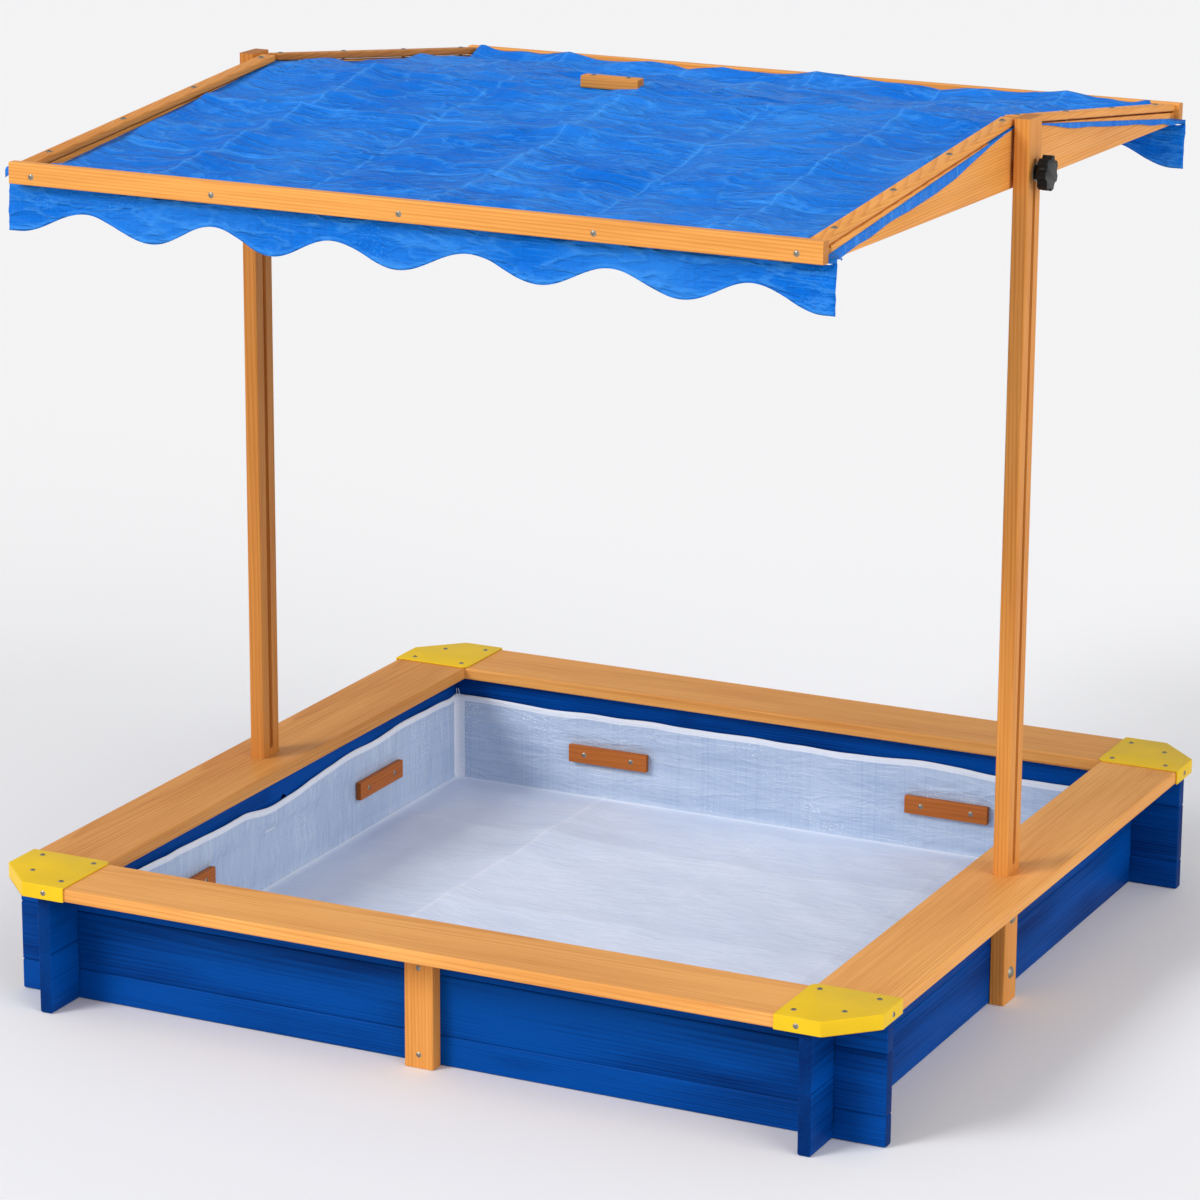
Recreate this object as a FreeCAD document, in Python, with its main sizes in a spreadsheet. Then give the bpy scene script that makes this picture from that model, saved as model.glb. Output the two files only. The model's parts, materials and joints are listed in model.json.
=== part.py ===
import FreeCAD, Part
import math
import os
import re
import sys

import Sketcher
from FreeCAD import Placement, Rotation, Vector

# A child's wooden sandbox with a height-adjustable, tilting roof that comes down as its cover.
# Millimetres, +Z up, X across between the two posts, Y from front to back.
# The origin is on the ground at the middle of the box.

sizes = {
    # box of interlocking boards
    "board_height": 76.8,  # one full board; the front and back walls start and end with half a board
    "board_thick": 17,
    "board_edge": 1.6,  # bevel along the long edges
    "front_wall_inset": 76,  # from the caps' outer face in to the front and back walls
    "side_wall_inset": 69,
    "front_board_end": 66,  # how far a front or back board stands out past the side wall
    "side_board_end": 64,
    "lap_gap": 0.25,  # room on each side of a crossing board in its notch
    # benches and corner caps
    "base_half": 590,  # middle of the box to the outer face of the caps
    "bench_width": 110,  # from the caps' outer face in to the opening between the benches
    "bench_thick": 17,
    "bench_round": 3,
    "bench_gap": 0.4,  # between a side bench and the front or back bench
    "cap_leg": 113.6,
    "cap_corner": 54.7,  # cut off the outer corner, along each side
    "cap_skin": 2,
    "cap_wall": 2.4,
    "cap_gap": 0.3,
    "cap_round": 10,
    # braces and posts
    "brace_width": 39,
    "brace_thick": 20,
    "brace_offset": -12,
    "edge_round": 2,
    "post_width": 42,
    "post_thick": 20,
    "post_height": 1118,
    "post_gap": 0.3,  # around a post in its bench
    "slot_start": 10.4,  # above the benches
    "slot_end": 49,  # below the post's top
    # liner and the strips that hold it to the walls
    "liner_height": 125,
    "liner_thick": 2.2,
    "liner_gap": 0.3,
    "strip_length": 122,
    "strip_height": 25,
    "strip_thick": 8,
    "strip_middle": 65,  # height of a strip's middle line above the ground
    "strip_offset": 257,  # from the middle of a wall to the middle of a strip
    # roof frame, in the roof's own frame: its pivot axis is its origin
    "pivot_drop": 66,  # from the posts' tops down to the pivot axis
    "roof_tilt": 1.19,  # the back edge stands this many degrees low
    "roof_inset": 33,  # from the caps' outer face in to a gable board's ends
    "gable_under": 20,  # pivot axis to the straight lower edge
    "gable_end": 16,  # height of a gable board at its two ends
    "gable_peak": 74,  # height of a gable board in the middle
    "gable_thick": 17,
    "gable_gap": 4,  # between a gable and its post
    "rail_width": 17,
    "ridge_width": 20,
    "ridge_height": 40,
    # cloth and the battens that hold it
    "cloth_thick": 1.6,
    "cloth_gap": 0.2,
    "batten_width": 20,
    "batten_thick": 9,
    "batten_start": 5,
    "fascia_height": 26,
    "fascia_thick": 15,
    "fascia_end": 1,  # how far a fascia stands out past the side wall's face
    "fascia_top": 6,  # above the pivot axis
    "block_length": 80,
    "block_width": 18,
    "block_height": 16,
    "block_offset": -20,
    "valance_end": 11,  # how far a valance stands out past the side wall's face
    "hang_gap": 1.5,  # between a valance and the fascia it hangs from
    "valance_drop": 56,  # fascia to the lowest point of the hem
    "wave_depth": 27,
    "wave_length": 175,
    # pivot hardware
    "bolt_radius": 3.95,
    "bolt_gap": 0.3,  # around a bolt in its bore or slot
    "bolt_reach": 17,  # how far a bolt stands out of its post
    "bolt_head_radius": 8,
    "bolt_head_height": 4,
    "washer_radius": 11,
    "washer_thick": 1.5,
    "spacer_thick": 3.4,
    "rub_gap": 0.3,  # beside faces that slide on each other
    "knob_radius": 21.5,
    "knob_thick": 12.5,
    "knob_lobes": 7,
    "knob_scoop": 6.5,  # radius of the finger hollows
    "knob_scoop_out": 2.9,  # from the knob's rim out to the middle of a finger hollow
    "knob_neck_radius": 9,
    "knob_neck": 7,
    "knob_wall": 3,
    "insert_radius": 6.5,
    # fasteners
    "screw_head_radius": 3.6,
    "screw_head_height": 1.5,
    "screw_radius": 1.7,
    "short_screw": 14,
    "usual_screw": 20,
    "long_screw": 30,
    "carriage_head_radius": 8,
    "carriage_head_height": 4,
    "carriage_radius": 3,
    "nut_radius": 7,
    "nut_thick": 5,
    "post_bolt_low": 38,
    "post_bolt_high": 111,
    "bolt_end_gap": 1,  # from a post bolt's end to the inner face of the wall
    "brace_screw_low": 17,
    "brace_screw_top": 25.6,  # below the brace's top
    "cap_screw_inset": 15.9,  # from a cap's two inner edges
    "cap_screw_rim": 22.7,  # from a cap's outer face
    "cap_screw_slant": 43.2,  # from both outer faces, beside the slanted side
    "cap_screw_side": 85.2,  # in a cap's side, from the corner it would have
    "strip_screw_step": 36.6,  # from the middle of a strip
    "fascia_screw_inset": 31,  # from a fascia's end to its last screw
    "screws_per_batten": 4,
    "batten_screw_inset": 28,  # from the ridge and from the eave
    "block_screw_step": 24,  # from the middle of the block
}

# what follows from the sizes
follows = {
    "front_wall_face": "base_half - front_wall_inset",  # middle of the box to the wall's outer face
    "side_wall_face": "base_half - side_wall_inset",
    "front_board_half": "side_wall_face + front_board_end",
    "side_board_half": "front_wall_face + side_board_end",
    "inner_half": "base_half - bench_width",
    "bench_low": "board_height * 2",
    "bench_top": "bench_low + bench_thick",
    "bore_radius": "bolt_radius + bolt_gap",
    "slot_width": "bore_radius * 2",
    "slot_low": "bench_top + slot_start",
    "slot_high": "post_height - slot_end",
    "pivot_height": "post_height - pivot_drop",
    "gable_half": "base_half - roof_inset",
    "fascia_half": "side_wall_face + fascia_end",
    "valance_half": "side_wall_face + valance_end",
    "brace_screw_high": "bench_low - brace_screw_top",
}

doc = FreeCAD.newDocument("Sandbox")
sheet = doc.addObject("Spreadsheet::Sheet", "Sizes")
for row, (alias, number) in enumerate(sizes.items(), 1):
    sheet.set(f"A{row}", alias)
    sheet.set(f"B{row}", str(number))
    sheet.setAlias(f"B{row}", alias)
doc.recompute()

nodes = {}  # node name to the object that is its sub-part
over = 1  # how far a cutting tool stands out of what it cuts


def reference(word):
    """The cell or the formula that a size's name stands for; any other word stays as it is."""
    name = word[0]
    if name in follows:
        return f"({bind(follows[name])})"
    return f"Sizes.{name}" if name in sizes else name


def bind(formula):
    """A formula with each size's name turned into a reference to its cell."""
    return re.sub(r"[a-z_]+", reference, str(formula))


def value(formula):
    """What a formula comes to now."""
    return float(sheet.evalExpression(bind(formula)))


def keep(node, thing):
    """Files an object as a sub-part of its own."""
    thing.Label = node
    nodes[node] = thing
    return thing


def at(thing, x, y, z):
    """Places an object in the row frame, bound to the sheet."""
    spot = ";".join(bind(v) for v in (x, y, z))
    thing.setExpression("Placement", f"placement(vector({spot});rotation(vector(0;0;1);0))")


roof_frame = bind("placement(vector(0;0;pivot_height);rotation(vector(1;0;0);-roof_tilt))")


def on_roof(thing, x=0, y=0, z=0):
    """Places an object by its spot in the roof's own frame."""
    spot = ";".join(bind(v) for v in (x, y, z))
    thing.setExpression("Placement", f"{roof_frame} * placement(vector({spot});rotation(vector(0;0;1);0))")


def box(name, x, y, z):
    """A plain block of the given sizes."""
    block = doc.addObject("Part::Box", name)
    for side, formula in zip(("Length", "Width", "Height"), (x, y, z)):
        block.setExpression(side, bind(formula))
    return block


def rod(name, radius, length, x, y, z):
    """A round rod along X that starts at a point."""
    round_rod = doc.addObject("Part::Cylinder", name)
    round_rod.setExpression("Radius", bind(radius))
    round_rod.setExpression("Height", bind(length))
    spot = ";".join(bind(v) for v in (x, y, z))
    round_rod.setExpression("Placement", f"placement(vector({spot});rotation(vector(0;1;0);90))")
    return round_rod


def cut(name, base, tool):
    """One object less another."""
    less = doc.addObject("Part::Cut", name)
    less.Base = base
    less.Tool = tool
    return less


def fuse(name, *things):
    """Several objects as one solid."""
    whole = doc.addObject("Part::MultiFuse", name)
    whole.Shapes = list(things)
    return whole


def together(name, *things):
    """Several separate solids as one object."""
    pair = doc.addObject("Part::Compound", name)
    pair.Links = list(things)
    return pair


def plane_of(body, role):
    """One of a body's own origin planes."""
    return next(f for f in body.Origin.OriginFeatures if f.Role == role)


def oblong(x_low, x_high, y_low, y_high):
    """The corners of a rectangle."""
    return [(x_low, y_low), (x_high, y_low), (x_high, y_high), (x_low, y_high)]


def outline(body, role, corners):
    """A closed outline of straight lines on an origin plane, with every corner bound to the sheet."""
    sketch = body.newObject("Sketcher::SketchObject", body.Name + "_outline")
    sketch.AttachmentSupport = (plane_of(body, role), [""])
    sketch.MapMode = "FlatFace"
    spots = [Vector(value(a), value(b), 0) for a, b in corners]
    count = len(spots)
    for i in range(count):
        sketch.addGeometry(Part.LineSegment(spots[i], spots[(i + 1) % count]), False)
    for i in range(count):
        sketch.addConstraint(Sketcher.Constraint("Coincident", i, 2, (i + 1) % count, 1))
    for i, pair in enumerate(corners):
        for kind, axis, formula in (("DistanceX", -2, pair[0]), ("DistanceY", -1, pair[1])):
            if str(formula) == "0":
                sketch.addConstraint(Sketcher.Constraint("PointOnObject", i, 1, axis))
                continue
            number = sketch.addConstraint(Sketcher.Constraint(kind, -1, 1, i, 1, value(formula)))
            sketch.setExpression(f"Constraints[{number}]", bind(formula))
    return sketch


def plate(name, role, corners, thick):
    """A body that is one outline given a thickness, towards +X, +Y or +Z."""
    body = doc.addObject("PartDesign::Body", name)
    pad = body.newObject("PartDesign::Pad", name + "_pad")
    pad.Profile = outline(body, role, corners)
    pad.setExpression("Length", bind(thick))
    pad.Reversed = role == "XZ_Plane"  # that plane's normal is -Y
    body.Tip = pad
    doc.recompute()
    return body


def finish_edges(body, kind, size, wanted):
    """Rounds or bevels a body's edges for which wanted(edge) is true."""
    doc.recompute()
    base = body.Tip
    edges = [f"Edge{i}" for i, edge in enumerate(base.Shape.Edges, 1) if wanted(edge)]
    feature = body.newObject(f"PartDesign::{kind}", f"{body.Name}_{kind.lower()}")
    feature.Base = (base, edges)
    feature.setExpression("Radius" if kind == "Fillet" else "Size", bind(size))
    body.Tip = feature
    doc.recompute()


def runs_along(edge, axis):
    """Whether a straight edge runs along X, Y or Z (0, 1 or 2)."""
    if len(edge.Vertexes) != 2:
        return False
    step = edge.Vertexes[1].Point - edge.Vertexes[0].Point
    return abs(step[axis]) > 0.999 * step.Length


def along_both_faces(axis, low, high, upright=2):
    """A test for the edges along an axis that lie at one of two heights."""
    ends = (value(low), value(high))
    return lambda edge: runs_along(edge, axis) and min(
        abs(edge.Vertexes[0].Point[upright] - end) for end in ends
    ) < 0.01


# ---- the box: boards that lap at the corners --------------------------------------------


def notch(side, first, last, edge, bottom):
    """The corners of one notch, from the board's edge to the notch's bottom and back."""
    return [(side + first, edge), (side + first, bottom), (side + last, bottom), (side + last, edge)]


def board(name, along, half, crossing, height, notch_below, notch_above):
    """One wall board, notched a quarter of a board's height where the other wall crosses it."""
    deep = "board_height / 4"
    inner = f"({crossing} - board_thick - lap_gap)"
    outer = f"({crossing} + lap_gap)"
    corners = [(f"-{half}", "0")]
    if notch_below:
        corners += notch("-", outer, inner, "0", deep) + notch("", inner, outer, "0", deep)
    corners += [(half, "0"), (half, height)]
    if notch_above:
        level = f"{height} - {deep}"
        corners += notch("", outer, inner, height, level) + notch("-", inner, outer, height, level)
    corners += [(f"-{half}", height)]
    plank = plate(name, "XZ_Plane" if along == "x" else "YZ_Plane", corners, "board_thick")
    finish_edges(plank, "Chamfer", "board_edge", along_both_faces("xy".index(along), "0", height))
    return plank


whole, half_board = "board_height", "board_height / 2"
for side, sign in (("front", -1), ("back", 1)):
    wall_y = "-front_wall_face" if sign < 0 else "front_wall_face - board_thick"
    for level, height, below, above, low in (
        ("bottom", half_board, False, True, "0"),
        ("middle", whole, True, True, "board_height / 2"),
        ("top", half_board, True, False, "board_height * 1.5"),
    ):
        name = f"{side}_wall_{level}"
        plank = board(name, "x", "front_board_half", "side_wall_face", height, below, above)
        at(plank, 0, wall_y, low)
        keep(name, plank)
for side, sign in (("left", -1), ("right", 1)):
    wall_x = "-side_wall_face" if sign < 0 else "side_wall_face - board_thick"
    for level, low in (("lower", "0"), ("upper", "board_height")):
        name = f"{side}_wall_{level}"
        plank = board(name, "y", "side_board_half", "front_wall_face", whole, True, True)
        at(plank, wall_x, 0, low)
        keep(name, plank)

# ---- benches and corner caps ------------------------------------------------------------

bench_half = "(base_half - cap_wall - cap_gap)"
bench_corner = "(cap_corner - cap_wall)"

for side, sign in (("front", "-"), ("back", "")):
    corners = [
        (f"-{bench_half}", f"{sign}inner_half"),
        (bench_half, f"{sign}inner_half"),
        (bench_half, f"{sign}({bench_half} - {bench_corner})"),
        (f"({bench_half} - {bench_corner})", f"{sign}{bench_half}"),
        (f"-({bench_half} - {bench_corner})", f"{sign}{bench_half}"),
        (f"-{bench_half}", f"{sign}({bench_half} - {bench_corner})"),
    ]
    bench = plate(f"{side}_bench", "XY_Plane", corners, "bench_thick")
    finish_edges(bench, "Fillet", "bench_round", along_both_faces(0, "0", "bench_thick"))
    at(bench, 0, 0, "bench_low")
    keep(f"{side}_bench", bench)

for side, sign in (("left", "-"), ("right", "")):
    end = "(inner_half - bench_gap)"
    corners = oblong(f"{sign}inner_half", f"{sign}{bench_half}", f"-{end}", end)
    bench = plate(f"{side}_bench", "XY_Plane", corners, "bench_thick")
    finish_edges(bench, "Fillet", "bench_round", along_both_faces(1, "0", "bench_thick"))
    mortise = bench.newObject("PartDesign::Pocket", f"{side}_mortise")
    near, far = "(side_wall_face - post_gap)", "(side_wall_face + post_thick + post_gap)"
    reach = "(post_width / 2 + post_gap)"
    corners = oblong(f"{sign}{near}", f"{sign}{far}", f"-{reach}", reach)
    mortise.Profile = outline(bench, "XY_Plane", corners)
    mortise.Type = "ThroughAll"
    mortise.Reversed = True  # from the underside up through the board
    bench.Tip = mortise
    at(bench, 0, 0, "bench_low")
    keep(f"{side}_bench", bench)

def at_corner(edge, x, y):
    """Whether an edge stands upright at a spot."""
    foot = edge.Vertexes[0].Point
    return runs_along(edge, 2) and abs(foot.x - x) < 0.01 and abs(foot.y - y) < 0.01


cap_places = {
    "front_left": (-1, -1),
    "front_right": (1, -1),
    "back_right": (1, 1),
    "back_left": (-1, 1),
}
for corner, (sx, sy) in cap_places.items():
    px, py = ("-" if sx < 0 else ""), ("-" if sy < 0 else "")
    start, cut_at = "(base_half - cap_leg)", "(base_half - cap_corner)"
    skin = [
        (f"{px}{start}", f"{py}{start}"),
        (f"{px}base_half", f"{py}{start}"),
        (f"{px}base_half", f"{py}{cut_at}"),
        (f"{px}{cut_at}", f"{py}base_half"),
        (f"{px}{start}", f"{py}base_half"),
    ]
    name = f"{corner}_cap"
    cap = plate(name, "XY_Plane", skin, "bench_thick + cap_skin")
    inside = "(base_half - cap_wall)"
    slant = "(cap_corner - cap_wall * (2 - sqrt(2)))"  # keeps the slanted wall as thick as the others
    hollow_start = "(base_half - cap_leg - cap_round)"  # past the cap's open sides
    hollow = cap.newObject("PartDesign::Pocket", f"{name}_hollow")
    corners = [
        (f"{px}{hollow_start}", f"{py}{hollow_start}"),
        (f"{px}{inside}", f"{py}{hollow_start}"),
        (f"{px}{inside}", f"{py}({inside} - {slant} + cap_wall)"),
        (f"{px}({inside} - {slant} + cap_wall)", f"{py}{inside}"),
        (f"{px}{hollow_start}", f"{py}{inside}"),
    ]
    hollow.Profile = outline(cap, "XY_Plane", corners)
    hollow.setExpression("Length", bind("bench_thick"))
    hollow.Reversed = True
    cap.Tip = hollow
    doc.recompute()
    tip = (sx * value(start), sy * value(start))
    finish_edges(cap, "Fillet", "cap_round", lambda edge, tip=tip: at_corner(edge, *tip))
    at(cap, 0, 0, "bench_low")
    keep(name, cap)

# ---- braces and posts -------------------------------------------------------------------

for side, wall_y in (("front", "-front_wall_face - brace_thick"), ("back", "front_wall_face")):
    corners = oblong("-brace_width / 2", "brace_width / 2", "0", "brace_thick")
    brace = plate(f"{side}_brace", "XY_Plane", corners, "bench_low")
    finish_edges(brace, "Fillet", "edge_round", lambda edge: runs_along(edge, 2))
    at(brace, "brace_offset", wall_y, 0)
    keep(f"{side}_brace", brace)

for side, inner_x in (("left", "-side_wall_face - post_thick"), ("right", "side_wall_face")):
    corners = oblong("0", "post_thick", "-post_width / 2", "post_width / 2")
    stick = plate(f"{side}_stick", "XY_Plane", corners, "post_height")
    finish_edges(stick, "Fillet", "edge_round", lambda edge: runs_along(edge, 2))
    low_end, high_end = "(slot_low + slot_width / 2)", "(slot_high - slot_width / 2)"
    run = box(f"{side}_slot_run", f"post_thick + {over} * 2", "slot_width", f"{high_end} - {low_end}")
    at(run, -over, "-slot_width / 2", low_end)
    ends = [
        rod(f"{side}_slot_{level}", "slot_width / 2", f"post_thick + {over} * 2", -over, 0, height)
        for level, height in (("bottom", low_end), ("top", high_end))
    ]
    post = cut(f"{side}_post", stick, fuse(f"{side}_slot", run, *ends))
    at(post, inner_x, 0, 0)
    keep(f"{side}_post", post)

# ---- liner and its strips ---------------------------------------------------------------

liner_x = "(side_wall_face - board_thick - liner_gap)"
liner_y = "(front_wall_face - board_thick - liner_gap)"
tub = box("liner_outside", f"{liner_x} * 2", f"{liner_y} * 2", "liner_height")
at(tub, f"-{liner_x}", f"-{liner_y}", 0)
hollow_x, hollow_y = f"({liner_x} - liner_thick)", f"({liner_y} - liner_thick)"
inside = box("liner_inside", f"{hollow_x} * 2", f"{hollow_y} * 2", "liner_height")
at(inside, f"-{hollow_x}", f"-{hollow_y}", "liner_thick")
keep("liner", cut("liner", tub, inside))

walls = {"front": ("x", "-"), "back": ("x", ""), "left": ("y", "-"), "right": ("y", "")}
for side, (along, sign) in walls.items():
    wall = hollow_y if along == "x" else hollow_x
    near = f"-{wall}" if sign else f"{wall} - strip_thick"
    pair = []
    for place, middle in (("a", "-strip_offset"), ("b", "strip_offset")):
        first, low = f"{middle} - strip_length / 2", "strip_middle - strip_height / 2"
        if along == "x":
            pair.append(box(f"{side}_strip_{place}", "strip_length", "strip_thick", "strip_height"))
            at(pair[-1], first, near, low)
        else:
            pair.append(box(f"{side}_strip_{place}", "strip_thick", "strip_length", "strip_height"))
            at(pair[-1], near, first, low)
    keep(f"{side}_strips", together(f"{side}_strips", *pair))

# ---- roof frame, modelled about the pivot axis and then tilted ---------------------------

rise = "((gable_peak - gable_end) / gable_half)"  # how steeply the roof falls, as a ratio
peak, eave = "(gable_peak - gable_under)", "(gable_end - gable_under)"
gable_face = "(side_wall_face - gable_gap)"
roof_end = "(gable_half + rail_width)"  # outer face of the eave rails

for side, near in (("left", f"-{gable_face}"), ("right", f"{gable_face} - gable_thick")):
    corners = [
        ("-gable_half", "-gable_under"),
        ("gable_half", "-gable_under"),
        ("gable_half", eave),
        ("0", peak),
        ("-gable_half", eave),
    ]
    panel = plate(f"{side}_gable_board", "YZ_Plane", corners, "gable_thick")
    bore = rod(f"{side}_gable_bore", "bore_radius", f"gable_thick + {over} * 2", -over, 0, 0)
    gable = cut(f"{side}_gable", panel, bore)
    on_roof(gable, near)
    keep(f"{side}_gable", gable)

rail_top = f"({eave} - rail_width * {rise})"
for side, near in (("front", f"-{roof_end}"), ("back", "gable_half")):
    rail = box(f"{side}_rail", f"{gable_face} * 2", "rail_width", f"{rail_top} + gable_under")
    on_roof(rail, f"-{gable_face}", near, "-gable_under")
    keep(f"{side}_rail", rail)

ridge_side = f"({peak} - ridge_width / 2 * {rise})"
corners = [
    ("-ridge_width / 2", f"{peak} - ridge_height"),
    ("ridge_width / 2", f"{peak} - ridge_height"),
    ("ridge_width / 2", ridge_side),
    ("0", peak),
    ("-ridge_width / 2", ridge_side),
]
ridge = plate("ridge_beam", "YZ_Plane", corners, f"({gable_face} - gable_thick) * 2")
on_roof(ridge, f"gable_thick - {gable_face}")
keep("ridge_beam", ridge)

# ---- cloth ------------------------------------------------------------------------------

cloth_top, cloth_edge = f"({peak} + cloth_gap + cloth_thick)", f"({roof_end} + cloth_gap + cloth_thick)"
fold_in = f"({peak} + cloth_gap - ({roof_end} + cloth_gap) * {rise})"
fold_out = f"({cloth_top} - {cloth_edge} * {rise})"
corners = [
    (f"-{cloth_edge}", "-gable_under"),
    (f"-{roof_end} - cloth_gap", "-gable_under"),
    (f"-{roof_end} - cloth_gap", fold_in),
    ("0", f"{peak} + cloth_gap"),
    (f"{roof_end} + cloth_gap", fold_in),
    (f"{roof_end} + cloth_gap", "-gable_under"),
    (cloth_edge, "-gable_under"),
    (cloth_edge, fold_out),
    ("0", cloth_top),
    (f"-{cloth_edge}", fold_out),
]
cover = plate("roof_cloth", "YZ_Plane", corners, f"{gable_face} * 2")
on_roof(cover, f"-{gable_face}")
keep("roof_cloth", cover)

roof_place = Placement(Vector(0, 0, value("pivot_height")), Rotation(Vector(1, 0, 0), -value("roof_tilt")))


def scalloped():
    """A flat hanging strip, its hem a row of even scallops; the middle of its top edge is its origin."""
    half, wave = value("valance_half"), value("wave_length")
    low = -value("valance_drop")
    middle, swing = low + value("wave_depth") / 2, value("wave_depth") / 2
    waves = int(2 * half / wave)
    left = -waves * wave / 2
    edges = []
    place = Vector(left, 0, low)
    if half > -left:
        edges.append(Part.makeLine(Vector(-half, 0, low), place))
    # each wave rises a quarter, goes over its crest and comes down again, in three arcs
    bend = swing * (1 - math.cos(math.pi / 4))  # the rise an eighth of a wave from its lowest point
    for i in range(waves):
        begin = left + i * wave
        first, second = Vector(begin + wave / 4, 0, middle), Vector(begin + wave * 3 / 4, 0, middle)
        last = Vector(begin + wave, 0, low)
        edges.append(Part.Arc(place, Vector(begin + wave / 8, 0, low + bend), first).toShape())
        edges.append(Part.Arc(first, Vector(begin + wave / 2, 0, middle + swing), second).toShape())
        edges.append(Part.Arc(second, Vector(begin + wave * 7 / 8, 0, low + bend), last).toShape())
        place = last
    if half > place.x:
        edges.append(Part.makeLine(place, Vector(half, 0, low)))
    top = [Vector(half, 0, low), Vector(half, 0, 0), Vector(-half, 0, 0), Vector(-half, 0, low)]
    edges += [Part.makeLine(a, b) for a, b in zip(top, top[1:])]
    thick = value("cloth_thick")
    return Part.Face(Part.Wire(edges)).extrude(Vector(0, thick, 0)).translated(Vector(0, -thick / 2, 0))


# the two valances hang straight down from the lower edges of the fascia battens
hang_y, hang_z = value(f"{cloth_edge} - cloth_thick / 2"), value("fascia_top - fascia_height")
for side, sign in (("front", -1), ("back", 1)):
    strip = doc.addObject("Part::Feature", f"{side}_valance")
    strip.Shape = scalloped()
    hem_top = roof_place.multVec(Vector(0, sign * hang_y, hang_z))
    strip.Placement = Placement(hem_top - Vector(0, 0, value("hang_gap")), Rotation())
    keep(f"{side}_valance", strip)

# ---- battens over the cloth -------------------------------------------------------------

batten_end = f"({cloth_edge})"
for side, near in (("left", f"-{gable_face}"), ("right", f"{gable_face} - batten_width")):
    for end, sign in (("front", "-"), ("back", "")):
        base = f"({cloth_top} + cloth_gap)"
        start_z, end_z = f"({base} - batten_start * {rise})", f"({base} - {batten_end} * {rise})"
        corners = [
            (f"{sign}batten_start", start_z),
            (f"{sign}{batten_end}", end_z),
            (f"{sign}{batten_end}", f"{end_z} + batten_thick"),
            (f"{sign}batten_start", f"{start_z} + batten_thick"),
        ]
        name = f"{side}_{end}_batten"
        batten = plate(name, "YZ_Plane", corners, "batten_width")
        on_roof(batten, near)
        keep(name, batten)

fascia_at = {"front": f"-{cloth_edge} - fascia_thick - cloth_gap", "back": f"{cloth_edge} + cloth_gap"}
for side, near in fascia_at.items():
    corners = oblong("0", "fascia_thick", "0", "fascia_height")
    fascia = plate(f"{side}_fascia", "YZ_Plane", corners, "fascia_half * 2")
    finish_edges(fascia, "Fillet", "edge_round", lambda edge: runs_along(edge, 0))
    on_roof(fascia, "-fascia_half", near, "fascia_top - fascia_height")
    keep(f"{side}_fascia", fascia)

block_low = f"({cloth_top} + cloth_gap)"
block = box("ridge_block", "block_length", "block_width", "block_height")
on_roof(block, "block_offset - block_length / 2", "-block_width / 2", block_low)
keep("ridge_block", block)

# ---- pivot hardware: bolts, washers and knobs --------------------------------------------

post_face = "(side_wall_face + post_thick)"
for side, sign in (("left", -1), ("right", 1)):

    def out(name, radius, start, length, sign=sign):
        """A round piece on the pivot axis, from start outwards."""
        first = start if sign > 0 else f"-({start}) - ({length})"
        return rod(name, radius, length, first, 0, "pivot_height")

    head_at = f"({gable_face} - gable_thick - bolt_head_height - rub_gap)"
    shank = out(f"{side}_shank", "bolt_radius", head_at, f"{post_face} + bolt_reach - {head_at}")
    head = out(f"{side}_bolt_head", "bolt_head_radius", head_at, "bolt_head_height")
    keep(f"{side}_pivot_bolt", fuse(f"{side}_pivot_bolt", shank, head))

    rings = []
    for piece, start, thick in (
        ("spacer", f"{gable_face} + rub_gap", "spacer_thick - rub_gap"),
        ("washer", f"{post_face} + rub_gap", "washer_thick"),
    ):
        disc = out(f"{side}_{piece}_disc", "washer_radius", start, thick)
        hole = out(f"{side}_{piece}_hole", "bore_radius", f"{start} - {over}", f"{thick} + {over} * 2")
        rings.append(cut(f"{side}_{piece}", disc, hole))
    keep(f"{side}_washers", together(f"{side}_washers", *rings))

    neck_at = f"({post_face} + rub_gap * 2 + washer_thick)"
    star_at, star_end = f"({neck_at} + knob_neck)", f"({neck_at} + knob_neck + knob_thick)"
    neck = out(f"{side}_neck", "knob_neck_radius", neck_at, f"knob_neck + {over}")
    star = out(f"{side}_star", "knob_radius", star_at, "knob_thick")
    scoops = []
    for i in range(int(value("knob_lobes"))):
        turn = f"(360 / knob_lobes * {i})"
        scoop = out(f"{side}_scoop_{i}", "knob_scoop", f"{star_at} - {over}", f"knob_thick + {over} * 2")
        start = f"{star_at} - {over}" if sign > 0 else f"-({star_end} + {over})"
        away = "(knob_radius + knob_scoop_out)"
        spot = f"{start};{away} * cos({turn});pivot_height + {away} * sin({turn})"
        scoop.setExpression("Placement", f"placement(vector({bind(spot)});rotation(vector(0;1;0);90))")
        scoops.append(scoop)
    socket_deep = f"knob_neck + knob_thick + {over} - knob_wall"
    socket = out(f"{side}_socket", "insert_radius", f"{neck_at} - {over}", socket_deep)
    shell = fuse(f"{side}_knob_blank", neck, star)
    keep(f"{side}_knob", cut(f"{side}_knob", shell, fuse(f"{side}_knob_cuts", socket, *scoops)))
    sleeve = out(f"{side}_sleeve", "insert_radius", neck_at, "knob_neck + knob_thick - knob_wall")
    thread_deep = f"knob_neck + knob_thick + {over} * 2"
    thread = out(f"{side}_thread", "bore_radius", f"{neck_at} - {over}", thread_deep)
    keep(f"{side}_knob_insert", cut(f"{side}_knob_insert", sleeve, thread))

# ---- fasteners: each node is a group of separate solids ----------------------------------


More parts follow.
